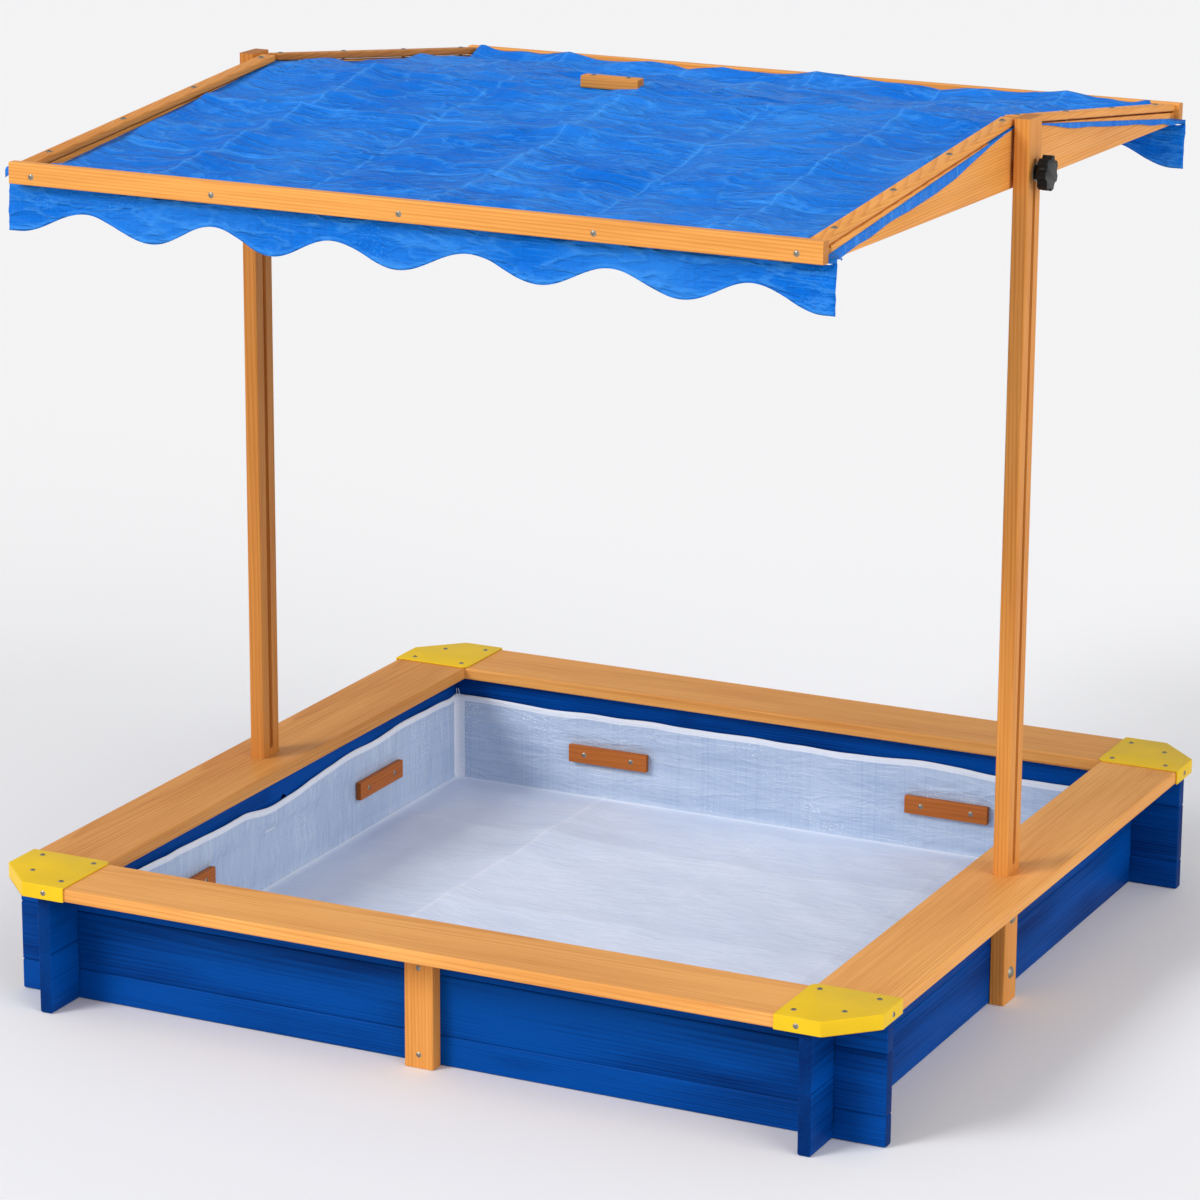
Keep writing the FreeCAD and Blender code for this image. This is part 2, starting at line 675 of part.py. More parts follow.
def domed(head, shank, length, spot, outward):
    """A round-headed fastener whose head, a radius and a height, lies on a surface at a spot."""
    radius, height = (value(f"{head}_{size}") for size in ("radius", "height"))
    ball = (radius**2 + height**2) / (2 * height)
    cap_blank = Part.makeCylinder(radius, height, Vector(0, 0, 0))
    dome = Part.makeSphere(ball, Vector(0, 0, height - ball)).common(cap_blank)
    stem = Part.makeCylinder(value(shank), length, Vector(0, 0, -length))
    solid = dome.fuse(stem).removeSplitter()
    solid.Placement = Placement(spot, Rotation(Vector(0, 0, 1), outward))
    return solid


def screw(spot, outward, length):
    """A domed wood screw that faces outward."""
    return domed("screw_head", "screw_radius", length, spot, outward)


def group(node, solids, place=None):
    """Files a set of separate solids as one node."""
    thing = doc.addObject("Part::Feature", node)
    shape = Part.makeCompound(solids)
    if place:
        shape.transformShape(place.toMatrix(), True)
    thing.Shape = shape
    return keep(node, thing)


upward = Vector(0, 0, 1)
short, usual, long = (value(f"{length}_screw") for length in ("short", "usual", "long"))

cap_top = value("bench_top + cap_skin")
cap_mid = value("bench_low + bench_thick / 2")
outer = value("base_half")
inset, rim = value("base_half - cap_leg + cap_screw_inset"), value("base_half - cap_screw_rim")
slanted, beside = value("base_half - cap_screw_slant"), value("base_half - cap_screw_side")
solids = []
for sx, sy in cap_places.values():
    for x, y in ((inset, inset), (inset, rim), (rim, inset), (slanted, slanted)):
        solids.append(screw(Vector(sx * x, sy * y, cap_top), upward, usual))
    solids.append(screw(Vector(sx * outer, sy * beside, cap_mid), Vector(sx, 0, 0), short))
    solids.append(screw(Vector(sx * beside, sy * outer, cap_mid), Vector(0, sy, 0), short))
group("cap_screws", solids)

solids = []
face, x = value("front_wall_face + brace_thick"), value("brace_offset")
for sign in (-1, 1):
    for height in (value("brace_screw_low"), value("brace_screw_high")):
        solids.append(screw(Vector(x, sign * face, height), Vector(0, sign, 0), long))
group("brace_screws", solids)

solids = []
face_x, face_y = value(f"{hollow_x} - strip_thick"), value(f"{hollow_y} - strip_thick")
height = value("strip_middle")
for sign in (-1, 1):
    for middle in (-value("strip_offset"), value("strip_offset")):
        for step in (-value("strip_screw_step"), value("strip_screw_step")):
            place = middle + step
            solids.append(screw(Vector(place, sign * face_y, height), Vector(0, -sign, 0), short))
            solids.append(screw(Vector(sign * face_x, place, height), Vector(-sign, 0, 0), short))
group("strip_screws", solids)

bolts, nuts = [], []
through = value("post_thick + board_thick")
for sign in (-1, 1):
    outward = Vector(sign, 0, 0)
    for height in (value("post_bolt_low"), value("post_bolt_high")):
        spot = Vector(sign * value(post_face), 0, height)
        length = through - value("bolt_end_gap")
        bolts.append(domed("carriage_head", "carriage_radius", length, spot, outward))
        inner = Vector(sign * value("side_wall_face - board_thick"), 0, height)
        barrel = Part.makeCylinder(value("nut_radius"), value("nut_thick"), inner, outward)
        hole = Part.makeCylinder(value("carriage_radius"), through, inner, outward)
        nuts.append(barrel.cut(hole))
group("post_bolts", bolts)
group("post_nuts", nuts)

solids = []
face, height = value(f"{cloth_edge} + cloth_gap + fascia_thick"), value("fascia_top - fascia_height / 2")
pitch = value("(fascia_half - fascia_screw_inset) / 2")
for sign in (-1, 1):
    for i in range(-2, 3):
        solids.append(screw(Vector(i * pitch, sign * face, height), Vector(0, sign, 0), usual))
group("fascia_screws", solids, roof_place)

solids = []
slope, count = value(rise), int(value("screws_per_batten"))
first, top = value("batten_screw_inset"), value(f"{cloth_top} + cloth_gap + batten_thick")
pitch = (value("gable_half") - 2 * first) / (count - 1)
middle = value(f"{gable_face} - batten_width / 2")
for sx in (-1, 1):
    for sy in (-1, 1):
        for i in range(count):
            y = first + i * pitch
            spot = Vector(sx * middle, sy * y, top - y * slope)
            solids.append(screw(spot, Vector(0, sy * slope, 1), usual))
group("batten_screws", solids, roof_place)

solids = []
top = value(f"{block_low} + block_height")
for step in (-value("block_screw_step"), value("block_screw_step")):
    solids.append(screw(Vector(value("block_offset") + step, 0, top), upward, long))
group("block_screws", solids, roof_place)

# a frame screw's head is sunk flush in the wood
solids = []
sunk = value("screw_head_height")
low, middle = value("gable_end / 2 - gable_under"), value(f"{peak} - ridge_height / 2")
for sx in (-1, 1):
    x = sx * value(f"{gable_face} - gable_thick / 2")
    for sy in (-1, 1):
        solids.append(screw(Vector(x, sy * (value(roof_end) - sunk), low), Vector(0, sy, 0), long))
    solids.append(screw(Vector(sx * (value(gable_face) - sunk), 0, middle), Vector(sx, 0, 0), long))
group("frame_screws", solids, roof_place)

# ---- check every object, then write the sub-parts ----------------------------------------

doc.recompute()
faults = [
    f"{thing.Name}: {thing.State}"
    for thing in doc.Objects
    if "Invalid" in thing.State or "Error" in thing.State
]
for node, thing in nodes.items():
    if thing.Shape.isNull() or not thing.Shape.isValid() or not thing.Shape.Solids:
        faults.append(f"{node}: no valid solid")
if faults:
    print("\n".join(faults))
    sys.exit(1)

os.makedirs("parts", exist_ok=True)
for node, thing in nodes.items():
    thing.Shape.exportStep(f"parts/{node}.step")
    low = thing.Shape.BoundBox
    print(f"{node}: {len(thing.Shape.Solids)} solids, z {low.ZMin:.1f} to {low.ZMax:.1f}")
print(len(nodes), "nodes")
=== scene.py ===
import json
import math
import random

import bmesh
import bpy
import numpy as np
from mathutils import Matrix, Vector, noise

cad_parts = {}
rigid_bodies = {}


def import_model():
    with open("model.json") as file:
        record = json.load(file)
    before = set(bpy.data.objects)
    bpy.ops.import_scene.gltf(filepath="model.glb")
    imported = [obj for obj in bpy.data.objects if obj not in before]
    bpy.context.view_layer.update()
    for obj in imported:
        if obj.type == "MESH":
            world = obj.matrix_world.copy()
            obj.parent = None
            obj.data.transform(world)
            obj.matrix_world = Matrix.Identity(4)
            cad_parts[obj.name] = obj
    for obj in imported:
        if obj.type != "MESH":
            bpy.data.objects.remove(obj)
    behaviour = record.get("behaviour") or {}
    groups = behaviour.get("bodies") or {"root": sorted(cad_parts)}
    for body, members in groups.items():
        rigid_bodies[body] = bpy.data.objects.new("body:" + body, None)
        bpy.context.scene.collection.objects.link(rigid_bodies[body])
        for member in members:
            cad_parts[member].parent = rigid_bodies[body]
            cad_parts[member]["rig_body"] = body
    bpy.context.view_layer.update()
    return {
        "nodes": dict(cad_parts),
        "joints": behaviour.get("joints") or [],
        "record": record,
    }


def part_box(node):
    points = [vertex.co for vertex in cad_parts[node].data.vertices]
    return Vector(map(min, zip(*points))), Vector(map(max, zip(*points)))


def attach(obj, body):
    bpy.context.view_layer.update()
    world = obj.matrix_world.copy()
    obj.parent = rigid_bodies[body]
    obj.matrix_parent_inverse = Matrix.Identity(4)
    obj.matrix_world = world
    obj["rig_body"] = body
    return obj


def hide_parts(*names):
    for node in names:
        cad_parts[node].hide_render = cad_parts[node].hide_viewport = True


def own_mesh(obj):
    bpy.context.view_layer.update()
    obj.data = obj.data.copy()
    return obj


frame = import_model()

print("frame loaded:", len(frame["nodes"]), "nodes")

# places taken from the frame

pivot = Vector(next(j["pos_m"] for j in frame["joints"] if j["name"] == "roof_tilt"))


def middle(node):
    low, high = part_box(node)
    return (low + high) / 2


# the roof stands a little tilted: its own axes run from the back fascia to the front one
fasciaRun = middle("back_fascia") - middle("front_fascia")
roofTurn = Matrix.Translation(pivot) @ Matrix.Rotation(math.atan2(fasciaRun.z, fasciaRun.y), 4, "X")
roofBack = roofTurn.inverted()


# lowest and highest corner of a roof piece along the roof's own axes
def roofBox(node):
    spots = [roofBack @ v.co for v in frame["nodes"][node].data.vertices]
    return [Vector(pick(p[i] for p in spots) for i in range(3)) for pick in (min, max)]


# small tools for materials and meshes


def addNode(tree, kind, inputs=None, **settings):
    made = tree.nodes.new("ShaderNode" + kind)
    for key, setting in settings.items():
        setattr(made, key, setting)
    for key, given in (inputs or {}).items():
        if isinstance(given, bpy.types.NodeSocket):
            tree.links.new(given, made.inputs[key])
        else:
            made.inputs[key].default_value = given
    return made


# a number worked out by a Math node
def sums(tree, operation, *given):
    return addNode(tree, "Math", dict(enumerate(given)), operation=operation).outputs[0]


# a colour ramp; stops are (position, grey value or colour)
def ramp(tree, factor, stops, smooth=False):
    made = addNode(tree, "ValToRGB", {"Fac": factor})
    line = made.color_ramp
    line.interpolation = "EASE" if smooth else "LINEAR"
    while len(line.elements) < len(stops):
        line.elements.new(0.5)
    for element, (place, colour) in zip(line.elements, stops):
        element.position = place
        element.color = (colour,) * 3 + (1,) if isinstance(colour, (int, float)) else (*colour, 1)
    return made.outputs["Color"]


# a noise stretched by scale, which is one number or three for X, Y and Z
def noiseFac(tree, place, scale, detail, **more):
    if isinstance(scale, tuple):
        place, scale = addNode(tree, "Mapping", {"Vector": place, "Scale": scale}).outputs[0], 1
    given = {"Vector": place, "Scale": scale, "Detail": detail, **more}
    return addNode(tree, "TexNoise", given).outputs["Fac"]


def mixColour(tree, factor, a, b):
    made = addNode(tree, "Mix", data_type="RGBA")
    for place, given in ((0, factor), (6, a), (7, b)):
        if isinstance(given, bpy.types.NodeSocket):
            tree.links.new(given, made.inputs[place])
        else:
            made.inputs[place].default_value = given if place == 0 else (*given, 1)
    return made.outputs[2]


wavePeriod = 0.31416  # a wave texture of scale 1 repeats at this distance


def startMaterial(name, **shader):
    made = bpy.data.materials.new(name)
    made.use_nodes = True
    tree = made.node_tree
    surface = tree.nodes["Principled BSDF"]
    for key, setting in shader.items():
        surface.inputs[key.replace("_", " ")].default_value = setting
    return made, tree, surface


def bump(tree, surface, height, strength, distance, under=None):
    given = {"Height": height, "Strength": strength, "Distance": distance}
    if under:
        given["Normal"] = under
    made = addNode(tree, "Bump", given)
    tree.links.new(made.outputs[0], surface.inputs["Normal"])
    return made.outputs[0]


def meshObject(name, bm, material, smooth=True):
    mesh = bpy.data.meshes.new(name)
    bm.to_mesh(mesh)
    bm.free()
    mesh.shade_smooth() if smooth else mesh.shade_flat()
    made = bpy.data.objects.new(name, mesh)
    bpy.context.scene.collection.objects.link(made)
    mesh.materials.append(material)
    return made


# turns a piece and its modifiers into one plain mesh
def applyModifiers(piece):
    bpy.context.view_layer.update()
    shown = piece.evaluated_get(bpy.context.evaluated_depsgraph_get())
    mesh = bpy.data.meshes.new_from_object(shown)
    piece.modifiers.clear()
    piece.data = mesh
    return piece


def settle(piece, body, slot, *nodes):
    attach(piece, body)
    if nodes:
        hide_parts(*nodes)


def bodyOf(node):
    return frame["nodes"][node]["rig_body"]


# stained wood

woodLook = {
    "ringSpacing": 0.0034,
    "stretch": 0.07,  # how much slower the figure changes along the grain
    "wander": 4.0,
    "pithDistance": 0.085,
    "pithTilt": 0.9,  # degrees, makes the arched figure
    "knotSpacing": 0.125,
    "knotRadius": 0.0060,
    "fibre": 260,
    "endDarker": 0.62,
    "knotPush": 0.016,  # how far a knot pushes the rings aside
    "blotchScale": (2.6, 15, 15),
    "fibreShare": 0.55,
    "fibreDepth": 0.0006,
}
stains = {
    "bench_wood": {"light": (0.90, 0.425, 0.112), "dark": (0.60, 0.205, 0.034), "knot": (0.15, 0.040, 0.008),
                   "figure": 0.40, "rough": 0.44, "knots": 0.74, "shine": 0.15, "blotch": 1.2},
    "roof_wood": {"light": (0.88, 0.390, 0.090), "dark": (0.56, 0.185, 0.026), "knot": (0.18, 0.050, 0.009),
                  "figure": 0.46, "rough": 0.46, "knots": 0.92, "shine": 0.15, "blotch": 1.0},
    "blue_wood": {"light": (0.0002, 0.066, 0.335), "dark": (0.0001, 0.016, 0.108), "knot": (0.0001, 0.006, 0.040),
                  "figure": 0.30, "rough": 0.48, "knots": 0.50, "shine": 0.04, "blotch": 2.5},
    "strip_wood": {"light": (0.52, 0.150, 0.028), "dark": (0.31, 0.070, 0.012), "knot": (0.12, 0.025, 0.006),
                   "figure": 0.40, "rough": 0.50, "knots": 0.95, "shine": 0.15, "blotch": 0.8},
}
# some pieces are made darker than the rest
deeper = {"left_post": 0.74, "right_post": 0.87, "left_front_batten": 0.80, "left_back_batten": 0.66,
          "ridge_block": 0.88, "back_bench": 0.90, "left_bench": 0.82, "front_brace": 0.92, "left_gable": 0.85}


# solid wood with its grain along the longest side, growth rings round a pith outside the board
def woodMaterial(node, stain, low, high, rng):
    look, tone = woodLook, dict(stains[stain])
    for part in ("light", "dark"):
        share = deeper.get(node, 1.0)
        tone[part] = tuple(c * share ** (1 + 0.35 * i) for i, c in enumerate(tone[part]))
    size = high - low
    order = sorted(range(3), key=lambda i: -size[i])
    grain, wide = Vector(), Vector()
    grain[order[0]], wide[order[1]] = 1, 1
    turn = Matrix((grain, wide, grain.cross(wide)))
    tilt = Matrix.Rotation(math.radians(rng.uniform(0.4, 1) * look["pithTilt"] * rng.choice((-1, 1))), 3, "Y")
    turn = tilt @ turn
    lean = math.radians(rng.uniform(25, 75)) * rng.choice((-1, 1))
    pith = look["pithDistance"] * rng.uniform(0.7, 1.3)
    shift = Vector((rng.uniform(-4, 4), pith * math.sin(lean), pith * math.cos(lean)))
    place = shift - turn @ ((low + high) / 2)

    made, tree, surface = startMaterial(node + "_wood", Specular_IOR_Level=tone["shine"])
    coords = addNode(tree, "TexCoord")
    mapping = addNode(tree, "Mapping", {"Vector": coords.outputs["Object"], "Location": place,
                                        "Rotation": turn.to_euler("XYZ")})
    along = mapping.outputs[0]
    # knots go through the board, so they are found in its face
    flat = addNode(tree, "Mapping", {"Vector": along, "Scale": (1, 1, 0)}).outputs[0]
    knotCells = addNode(tree, "TexVoronoi", {"Vector": flat, "Scale": 1 / look["knotSpacing"], "Randomness": 0.9})
    chosen = sums(tree, "GREATER_THAN", addNode(tree, "SeparateColor", {0: knotCells.outputs["Color"]}).outputs[0],
                  tone["knots"])
    far = sums(tree, "MULTIPLY", knotCells.outputs["Distance"], look["knotSpacing"] / look["knotRadius"])
    near = sums(tree, "MULTIPLY", ramp(tree, sums(tree, "DIVIDE", far, 5), [(0, 1), (1, 0)], True), chosen)
    core = sums(tree, "MULTIPLY", ramp(tree, far, [(0.55, 1), (0.95, 0)], True), chosen)
    # growth rings, pushed aside by the knots
    push = addNode(tree, "CombineXYZ", {"Z": sums(tree, "MULTIPLY", near, look["knotPush"])}).outputs[0]
    moved = addNode(tree, "VectorMath", {0: along, 1: push}, operation="ADD").outputs[0]
    slow = addNode(tree, "Mapping", {"Vector": moved, "Scale": (look["stretch"], 1, 1)}).outputs[0]
    perUnit = wavePeriod / look["ringSpacing"]
    rings = addNode(tree, "TexWave", {"Vector": slow, "Scale": perUnit, "Distortion": look["wander"], "Detail": 2,
                                      "Detail Scale": 0.35, "Detail Roughness": 0.45},
                    wave_type="RINGS", rings_direction="X", wave_profile="SAW").outputs["Fac"]
    late = ramp(tree, rings, [(0, 0.0), (0.45, 0.12), (0.82, 0.75), (0.93, 1.0), (1.0, 0.0)])
    fibre = noiseFac(tree, along, (look["fibre"] * 0.02, look["fibre"], look["fibre"]), 4, Roughness=0.62)
    blotch = noiseFac(tree, along, look["blotchScale"], 2)
    # colour
    figure = sums(tree, "MULTIPLY", late, tone["figure"])
    streak = ramp(tree, fibre, [(0.36, 0.0), (0.64, 0.55)])
    depth = sums(tree, "ADD", figure, sums(tree, "MULTIPLY", streak, look["fibreShare"]))
    uneven = sums(tree, "MULTIPLY", sums(tree, "SUBTRACT", blotch, 0.5), tone["blotch"])
    depth = sums(tree, "ADD", depth, uneven)
    colour = mixColour(tree, addNode(tree, "Clamp", {0: depth}).outputs[0], tone["light"], tone["dark"])
    colour = mixColour(tree, sums(tree, "MULTIPLY", near, 0.35), colour, tone["dark"])
    knotTone = mixColour(tree, noiseFac(tree, flat, 700, 1), tone["knot"], tone["dark"])
    colour = mixColour(tree, core, colour, knotTone)
    # sawn ends take more stain
    facing = addNode(tree, "VectorMath", {0: coords.outputs["Normal"], 1: grain}, operation="DOT_PRODUCT")
    ends = ramp(tree, sums(tree, "ABSOLUTE", facing.outputs["Value"]), [(0.7, 0), (0.9, 1)])
    darker = tuple(c * look["endDarker"] for c in tone["dark"])
    colour = mixColour(tree, sums(tree, "MULTIPLY", ends, 0.55), colour, darker)
    tree.links.new(colour, surface.inputs["Base Color"])
    rough = sums(tree, "ADD", sums(tree, "MULTIPLY", fibre, 0.22), tone["rough"] - 0.10)
    tree.links.new(rough, surface.inputs["Roughness"])
    height = sums(tree, "ADD", sums(tree, "MULTIPLY", late, 0.35), fibre)
    height = sums(tree, "SUBTRACT", height, sums(tree, "MULTIPLY", core, 0.5))
    bump(tree, surface, height, 0.45, look["fibreDepth"])
    return made


# plastic and metal


# moulded plastic with a fine texture and faint marks
def plasticMaterial(name, colour, rough, grainSize, grainDepth):
    made, tree, surface = startMaterial(name, Specular_IOR_Level=0.2)
    coords = addNode(tree, "TexCoord").outputs["Object"]
    skin, cloudy = noiseFac(tree, coords, 1 / grainSize, 2), noiseFac(tree, coords, 22, 3)
    turned = {"Vector": coords, "Scale": (60, 900, 60), "Rotation": (0, 0, 0.6)}
    scuff = noiseFac(tree, addNode(tree, "Mapping", turned).outputs[0], 1, 1)
    marks = ramp(tree, scuff, [(0.70, 0), (0.78, 1)])
    darker = tuple(c * 0.80 for c in colour)
    tone = mixColour(tree, cloudy, darker, colour)
    tree.links.new(tone, surface.inputs["Base Color"])
    dull = sums(tree, "ADD", rough - 0.05, sums(tree, "MULTIPLY", cloudy, 0.10))
    dull = sums(tree, "ADD", sums(tree, "MULTIPLY", marks, 0.12), dull)
    tree.links.new(dull, surface.inputs["Roughness"])
    bump(tree, surface, sums(tree, "SUBTRACT", skin, sums(tree, "MULTIPLY", marks, 0.3)), 0.35, grainDepth)
    return made


# dull zinc or brass with fine spangles
def metalMaterial(name, colour, rough):
    made, tree, surface = startMaterial(name, Metallic=1.0, Roughness=rough)
    coords = addNode(tree, "TexCoord").outputs["Object"]
    spangle = addNode(tree, "TexVoronoi", {"Vector": coords, "Scale": 900}).outputs["Distance"]
    cloudy = noiseFac(tree, coords, 260, 3)
    darker = tuple(c * 0.72 for c in colour)
    tree.links.new(mixColour(tree, cloudy, darker, colour), surface.inputs["Base Color"])
    dull = sums(tree, "ADD", rough - 0.08, sums(tree, "MULTIPLY", spangle, 0.3))
    tree.links.new(dull, surface.inputs["Roughness"])
    bump(tree, surface, cloudy, 0.2, 0.0001)
    return made


# woven cloths

# thread is the width of one tape and depth how far it stands up, both in metres
# marks is how strongly the crumple is painted: painted shade between its ridges and a painted highlight on them,
# partly also the film's whitening
clothLook = {
    "tarp": {"base": (0.001, 0.150, 0.660), "pale": (0.070, 0.360, 0.920), "deep": (0.0003, 0.075, 0.440),
             "rough": 0.36, "shine": 0.05, "thread": 0.0030, "depth": 0.0005,
             "crinkle": 0.80, "tapes": 0.30, "marks": 0.36, "sparkle": 0.35},
    "liner": {"base": (0.72, 0.785, 0.90), "pale": (0.94, 0.96, 0.99), "deep": (0.58, 0.65, 0.80),
              "rough": 0.40, "shine": 0.4, "thread": 0.0024, "depth": 0.0004,
              "crinkle": 0.16, "tapes": 0.15, "marks": 0.08, "sparkle": 0.10},
    "linerWall": {"base": (0.45, 0.555, 0.73), "pale": (0.76, 0.84, 0.93), "deep": (0.31, 0.42, 0.64),
                  "rough": 0.36, "shine": 0.5, "thread": 0.0024, "depth": 0.0005,
                  "crinkle": 0.35, "tapes": 0.55, "marks": 0.10, "sparkle": 0.85},
    "hem": {"base": (0.80, 0.84, 0.92), "pale": (0.95, 0.96, 0.98), "deep": (0.66, 0.72, 0.84),
             "rough": 0.60, "shine": 0.4, "thread": 0.0012, "depth": 0.0003,
             "crinkle": 0.25, "tapes": 0.2, "marks": 0.1, "sparkle": 0.0},
}


crumpleHeight = 0.0060


# flat woven tapes under a thin clear film, on the piece's own cut (its UV map, in metres)
def clothMaterial(name, look):
    made, tree, surface = startMaterial(name, Specular_IOR_Level=look["shine"])
    cutPlace = addNode(tree, "UVMap", uv_map="cut").outputs[0]
    crease = addNode(tree, "Attribute", attribute_name="crease").outputs["Fac"]
    perUnit = wavePeriod / look["thread"]
    weave = []
    for direction in ("X", "Y"):
        bands = addNode(tree, "TexWave", {"Vector": cutPlace, "Scale": perUnit, "Distortion": 0.6, "Detail": 1,
                                          "Detail Scale": 0.2}, bands_direction=direction)
        weave.append(bands.outputs["Fac"])
    crossed = sums(tree, "MULTIPLY", *weave)
    # warp and weft tapes differ a little in shade, which shows as long faint streaks
    streaks = [noiseFac(tree, cutPlace, scale, 1) for scale in ((0.6, 420, 1), (420, 0.6, 1))]
    tapes = sums(tree, "ADD", *streaks)
    cloudy = noiseFac(tree, cutPlace, 5, 4)
    # crumpled film: sharp little ridges where two noises cross their middle
    ridges = []
    for scale, detail in (((9, 34, 1), 3), ((26, 62, 1), 2)):
        turned = noiseFac(tree, cutPlace, scale, detail, Roughness=0.55, Distortion=0.5)
        away = sums(tree, "ABSOLUTE", sums(tree, "SUBTRACT", turned, 0.5))
        ridges.append(ramp(tree, away, [(0.0, 1.0), (0.05, 0.62), (0.22, 0.0)]))
    crumple = sums(tree, "ADD", sums(tree, "MULTIPLY", ridges[0], 0.68), sums(tree, "MULTIPLY", ridges[1], 0.32))
    tone = mixColour(tree, ramp(tree, tapes, [(0.75, 0), (1.25, 1)]), look["deep"], look["base"])
    tone = mixColour(tree, look["tapes"], look["base"], tone)
    tone = mixColour(tree, ramp(tree, cloudy, [(0.38, 0), (0.75, 0.35)]), tone, look["pale"])
    # painted shade: the low cloth between the crumple's ridges is made darker; painted highlight: the ridges are
    # made paler, which is partly also the film's own whitening
    tone = mixColour(tree, ramp(tree, crumple, [(0.10, look["marks"] * 0.7), (0.34, 0)]), tone, look["deep"])
    tone = mixColour(tree, ramp(tree, crumple, [(0.62, 0), (0.92, look["marks"])]), tone, look["pale"])
    tone = mixColour(tree, sums(tree, "MULTIPLY", crease, 0.80), tone, look["pale"])
    # patches where single tapes catch the light, and thin loose threads
    glitter = ramp(tree, noiseFac(tree, cutPlace, 330, 1), [(0.60, 0), (0.66, 1)])
    patch = ramp(tree, noiseFac(tree, cutPlace, 11, 2), [(0.55, 0), (0.64, 1)])
    loose = ramp(tree, noiseFac(tree, cutPlace, (9, 520, 1), 0), [(0.70, 0), (0.76, 0.6)])
    bright = sums(tree, "MAXIMUM", sums(tree, "MULTIPLY", glitter, patch), loose)
    tone = mixColour(tree, sums(tree, "MULTIPLY", bright, look["sparkle"]), tone, look["pale"])
    tree.links.new(tone, surface.inputs["Base Color"])
    glint = sums(tree, "MULTIPLY", sums(tree, "SUBTRACT", 1, crossed), 0.14)
    tree.links.new(sums(tree, "ADD", glint, look["rough"] - 0.06), surface.inputs["Roughness"])
    first = bump(tree, surface, crossed, 0.5, look["depth"])
    bump(tree, surface, crumple, look["crinkle"], crumpleHeight, first)
    return made


# materials on the CAD pieces

plain = {
    "yellow_plastic": plasticMaterial("yellowPlastic", (0.93, 0.595, 0.008), rough=0.44, grainSize=0.0012,
                                      grainDepth=0.0003),
    "black_plastic": plasticMaterial("blackPlastic", (0.0035, 0.0035, 0.004), rough=0.40, grainSize=0.0010,
                                     grainDepth=0.0003),
    "zinc_steel": metalMaterial("zincSteel", (0.40, 0.37, 0.31), rough=0.38),
    "brass": metalMaterial("brass", (0.55, 0.39, 0.16), rough=0.32),
    "blue_cloth": clothMaterial("tarpCloth", clothLook["tarp"]),
    "liner_cloth": clothMaterial("linerCloth", clothLook["liner"]),
}
wallMaterial = clothMaterial("linerWallCloth", clothLook["linerWall"])
tapeMaterial = clothMaterial("hemTape", clothLook["hem"])
slotOf = {s["node"]: s["material_slot"] for s in frame["record"]["subparts"]}

for count, (node, thing) in enumerate(sorted(frame["nodes"].items())):
    slot = slotOf[node]
    material = plain.get(slot)
    if material is None:
        material = woodMaterial(node, slot, *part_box(node), random.Random(100 + count))
    thing.data.materials.clear()
    thing.data.materials.append(material)
print("materials on", len(frame["nodes"]), "nodes")

# wood and plastic pieces with eased edges

easing = {
    "battens": 0.0022,
    "roof boards": 0.0018,
    "wall boards": 0.0033,
    "strips": 0.0010,
    "caps": 0.0009,
    "knobs": 0.0014,
    "segments": 3,
    "fromAngle": 28,  # degrees; edges flatter than this stay as they are
}
eased = {
    "battens": ["left_front_batten", "left_back_batten", "right_front_batten", "right_back_batten", "ridge_block"],
    "roof boards": ["left_gable", "right_gable", "front_rail", "back_rail", "ridge_beam"],
    "wall boards": ["front_wall_bottom", "front_wall_middle", "front_wall_top", "back_wall_bottom",
                    "back_wall_middle", "back_wall_top", "left_wall_lower", "left_wall_upper", "right_wall_lower",
                    "right_wall_upper"],
    "strips": ["front_strips", "back_strips", "left_strips", "right_strips"],
    "caps": ["front_left_cap", "front_right_cap", "back_left_cap", "back_right_cap"],
    "knobs": ["left_knob", "right_knob"],
}


# a copy of a CAD piece whose sharp edges are rounded over
def easedCopy(node, width):
    bm = bmesh.new()
    bm.from_mesh(frame["nodes"][node].data)
    bmesh.ops.remove_doubles(bm, verts=bm.verts, dist=1e-6)
    bmesh.ops.dissolve_limit(bm, angle_limit=math.radians(0.5), verts=bm.verts, edges=bm.edges)
    piece = meshObject("eased_" + node, bm, frame["nodes"][node].data.materials[0])
    rounding = piece.modifiers.new("rounding", "BEVEL")
    rounding.width, rounding.segments = width, easing["segments"]
    rounding.limit_method, rounding.angle_limit = "ANGLE", math.radians(easing["fromAngle"])
    rounding.use_clamp_overlap = True
    rounding.harden_normals = True
    applyModifiers(piece)
    settle(piece, bodyOf(node), slotOf[node], node)


for group, members in eased.items():
    for node in members:
        easedCopy(node, easing[group])
print("eased edges done")

# screws with a cross recess

screwShape = {
    "headRadius": 0.0036,
    "headHeight": 0.0014,
    "neck": 0.0012,
    "shankRadius": 0.0017,
    "shankLength": 0.010,
    "tip": 0.002,
    "recessWidth": 0.0011,
    "recessReach": 0.0021,
    "recessDepth": 0.0011,
    "sides": 20,
    "domeSteps": 5,
}


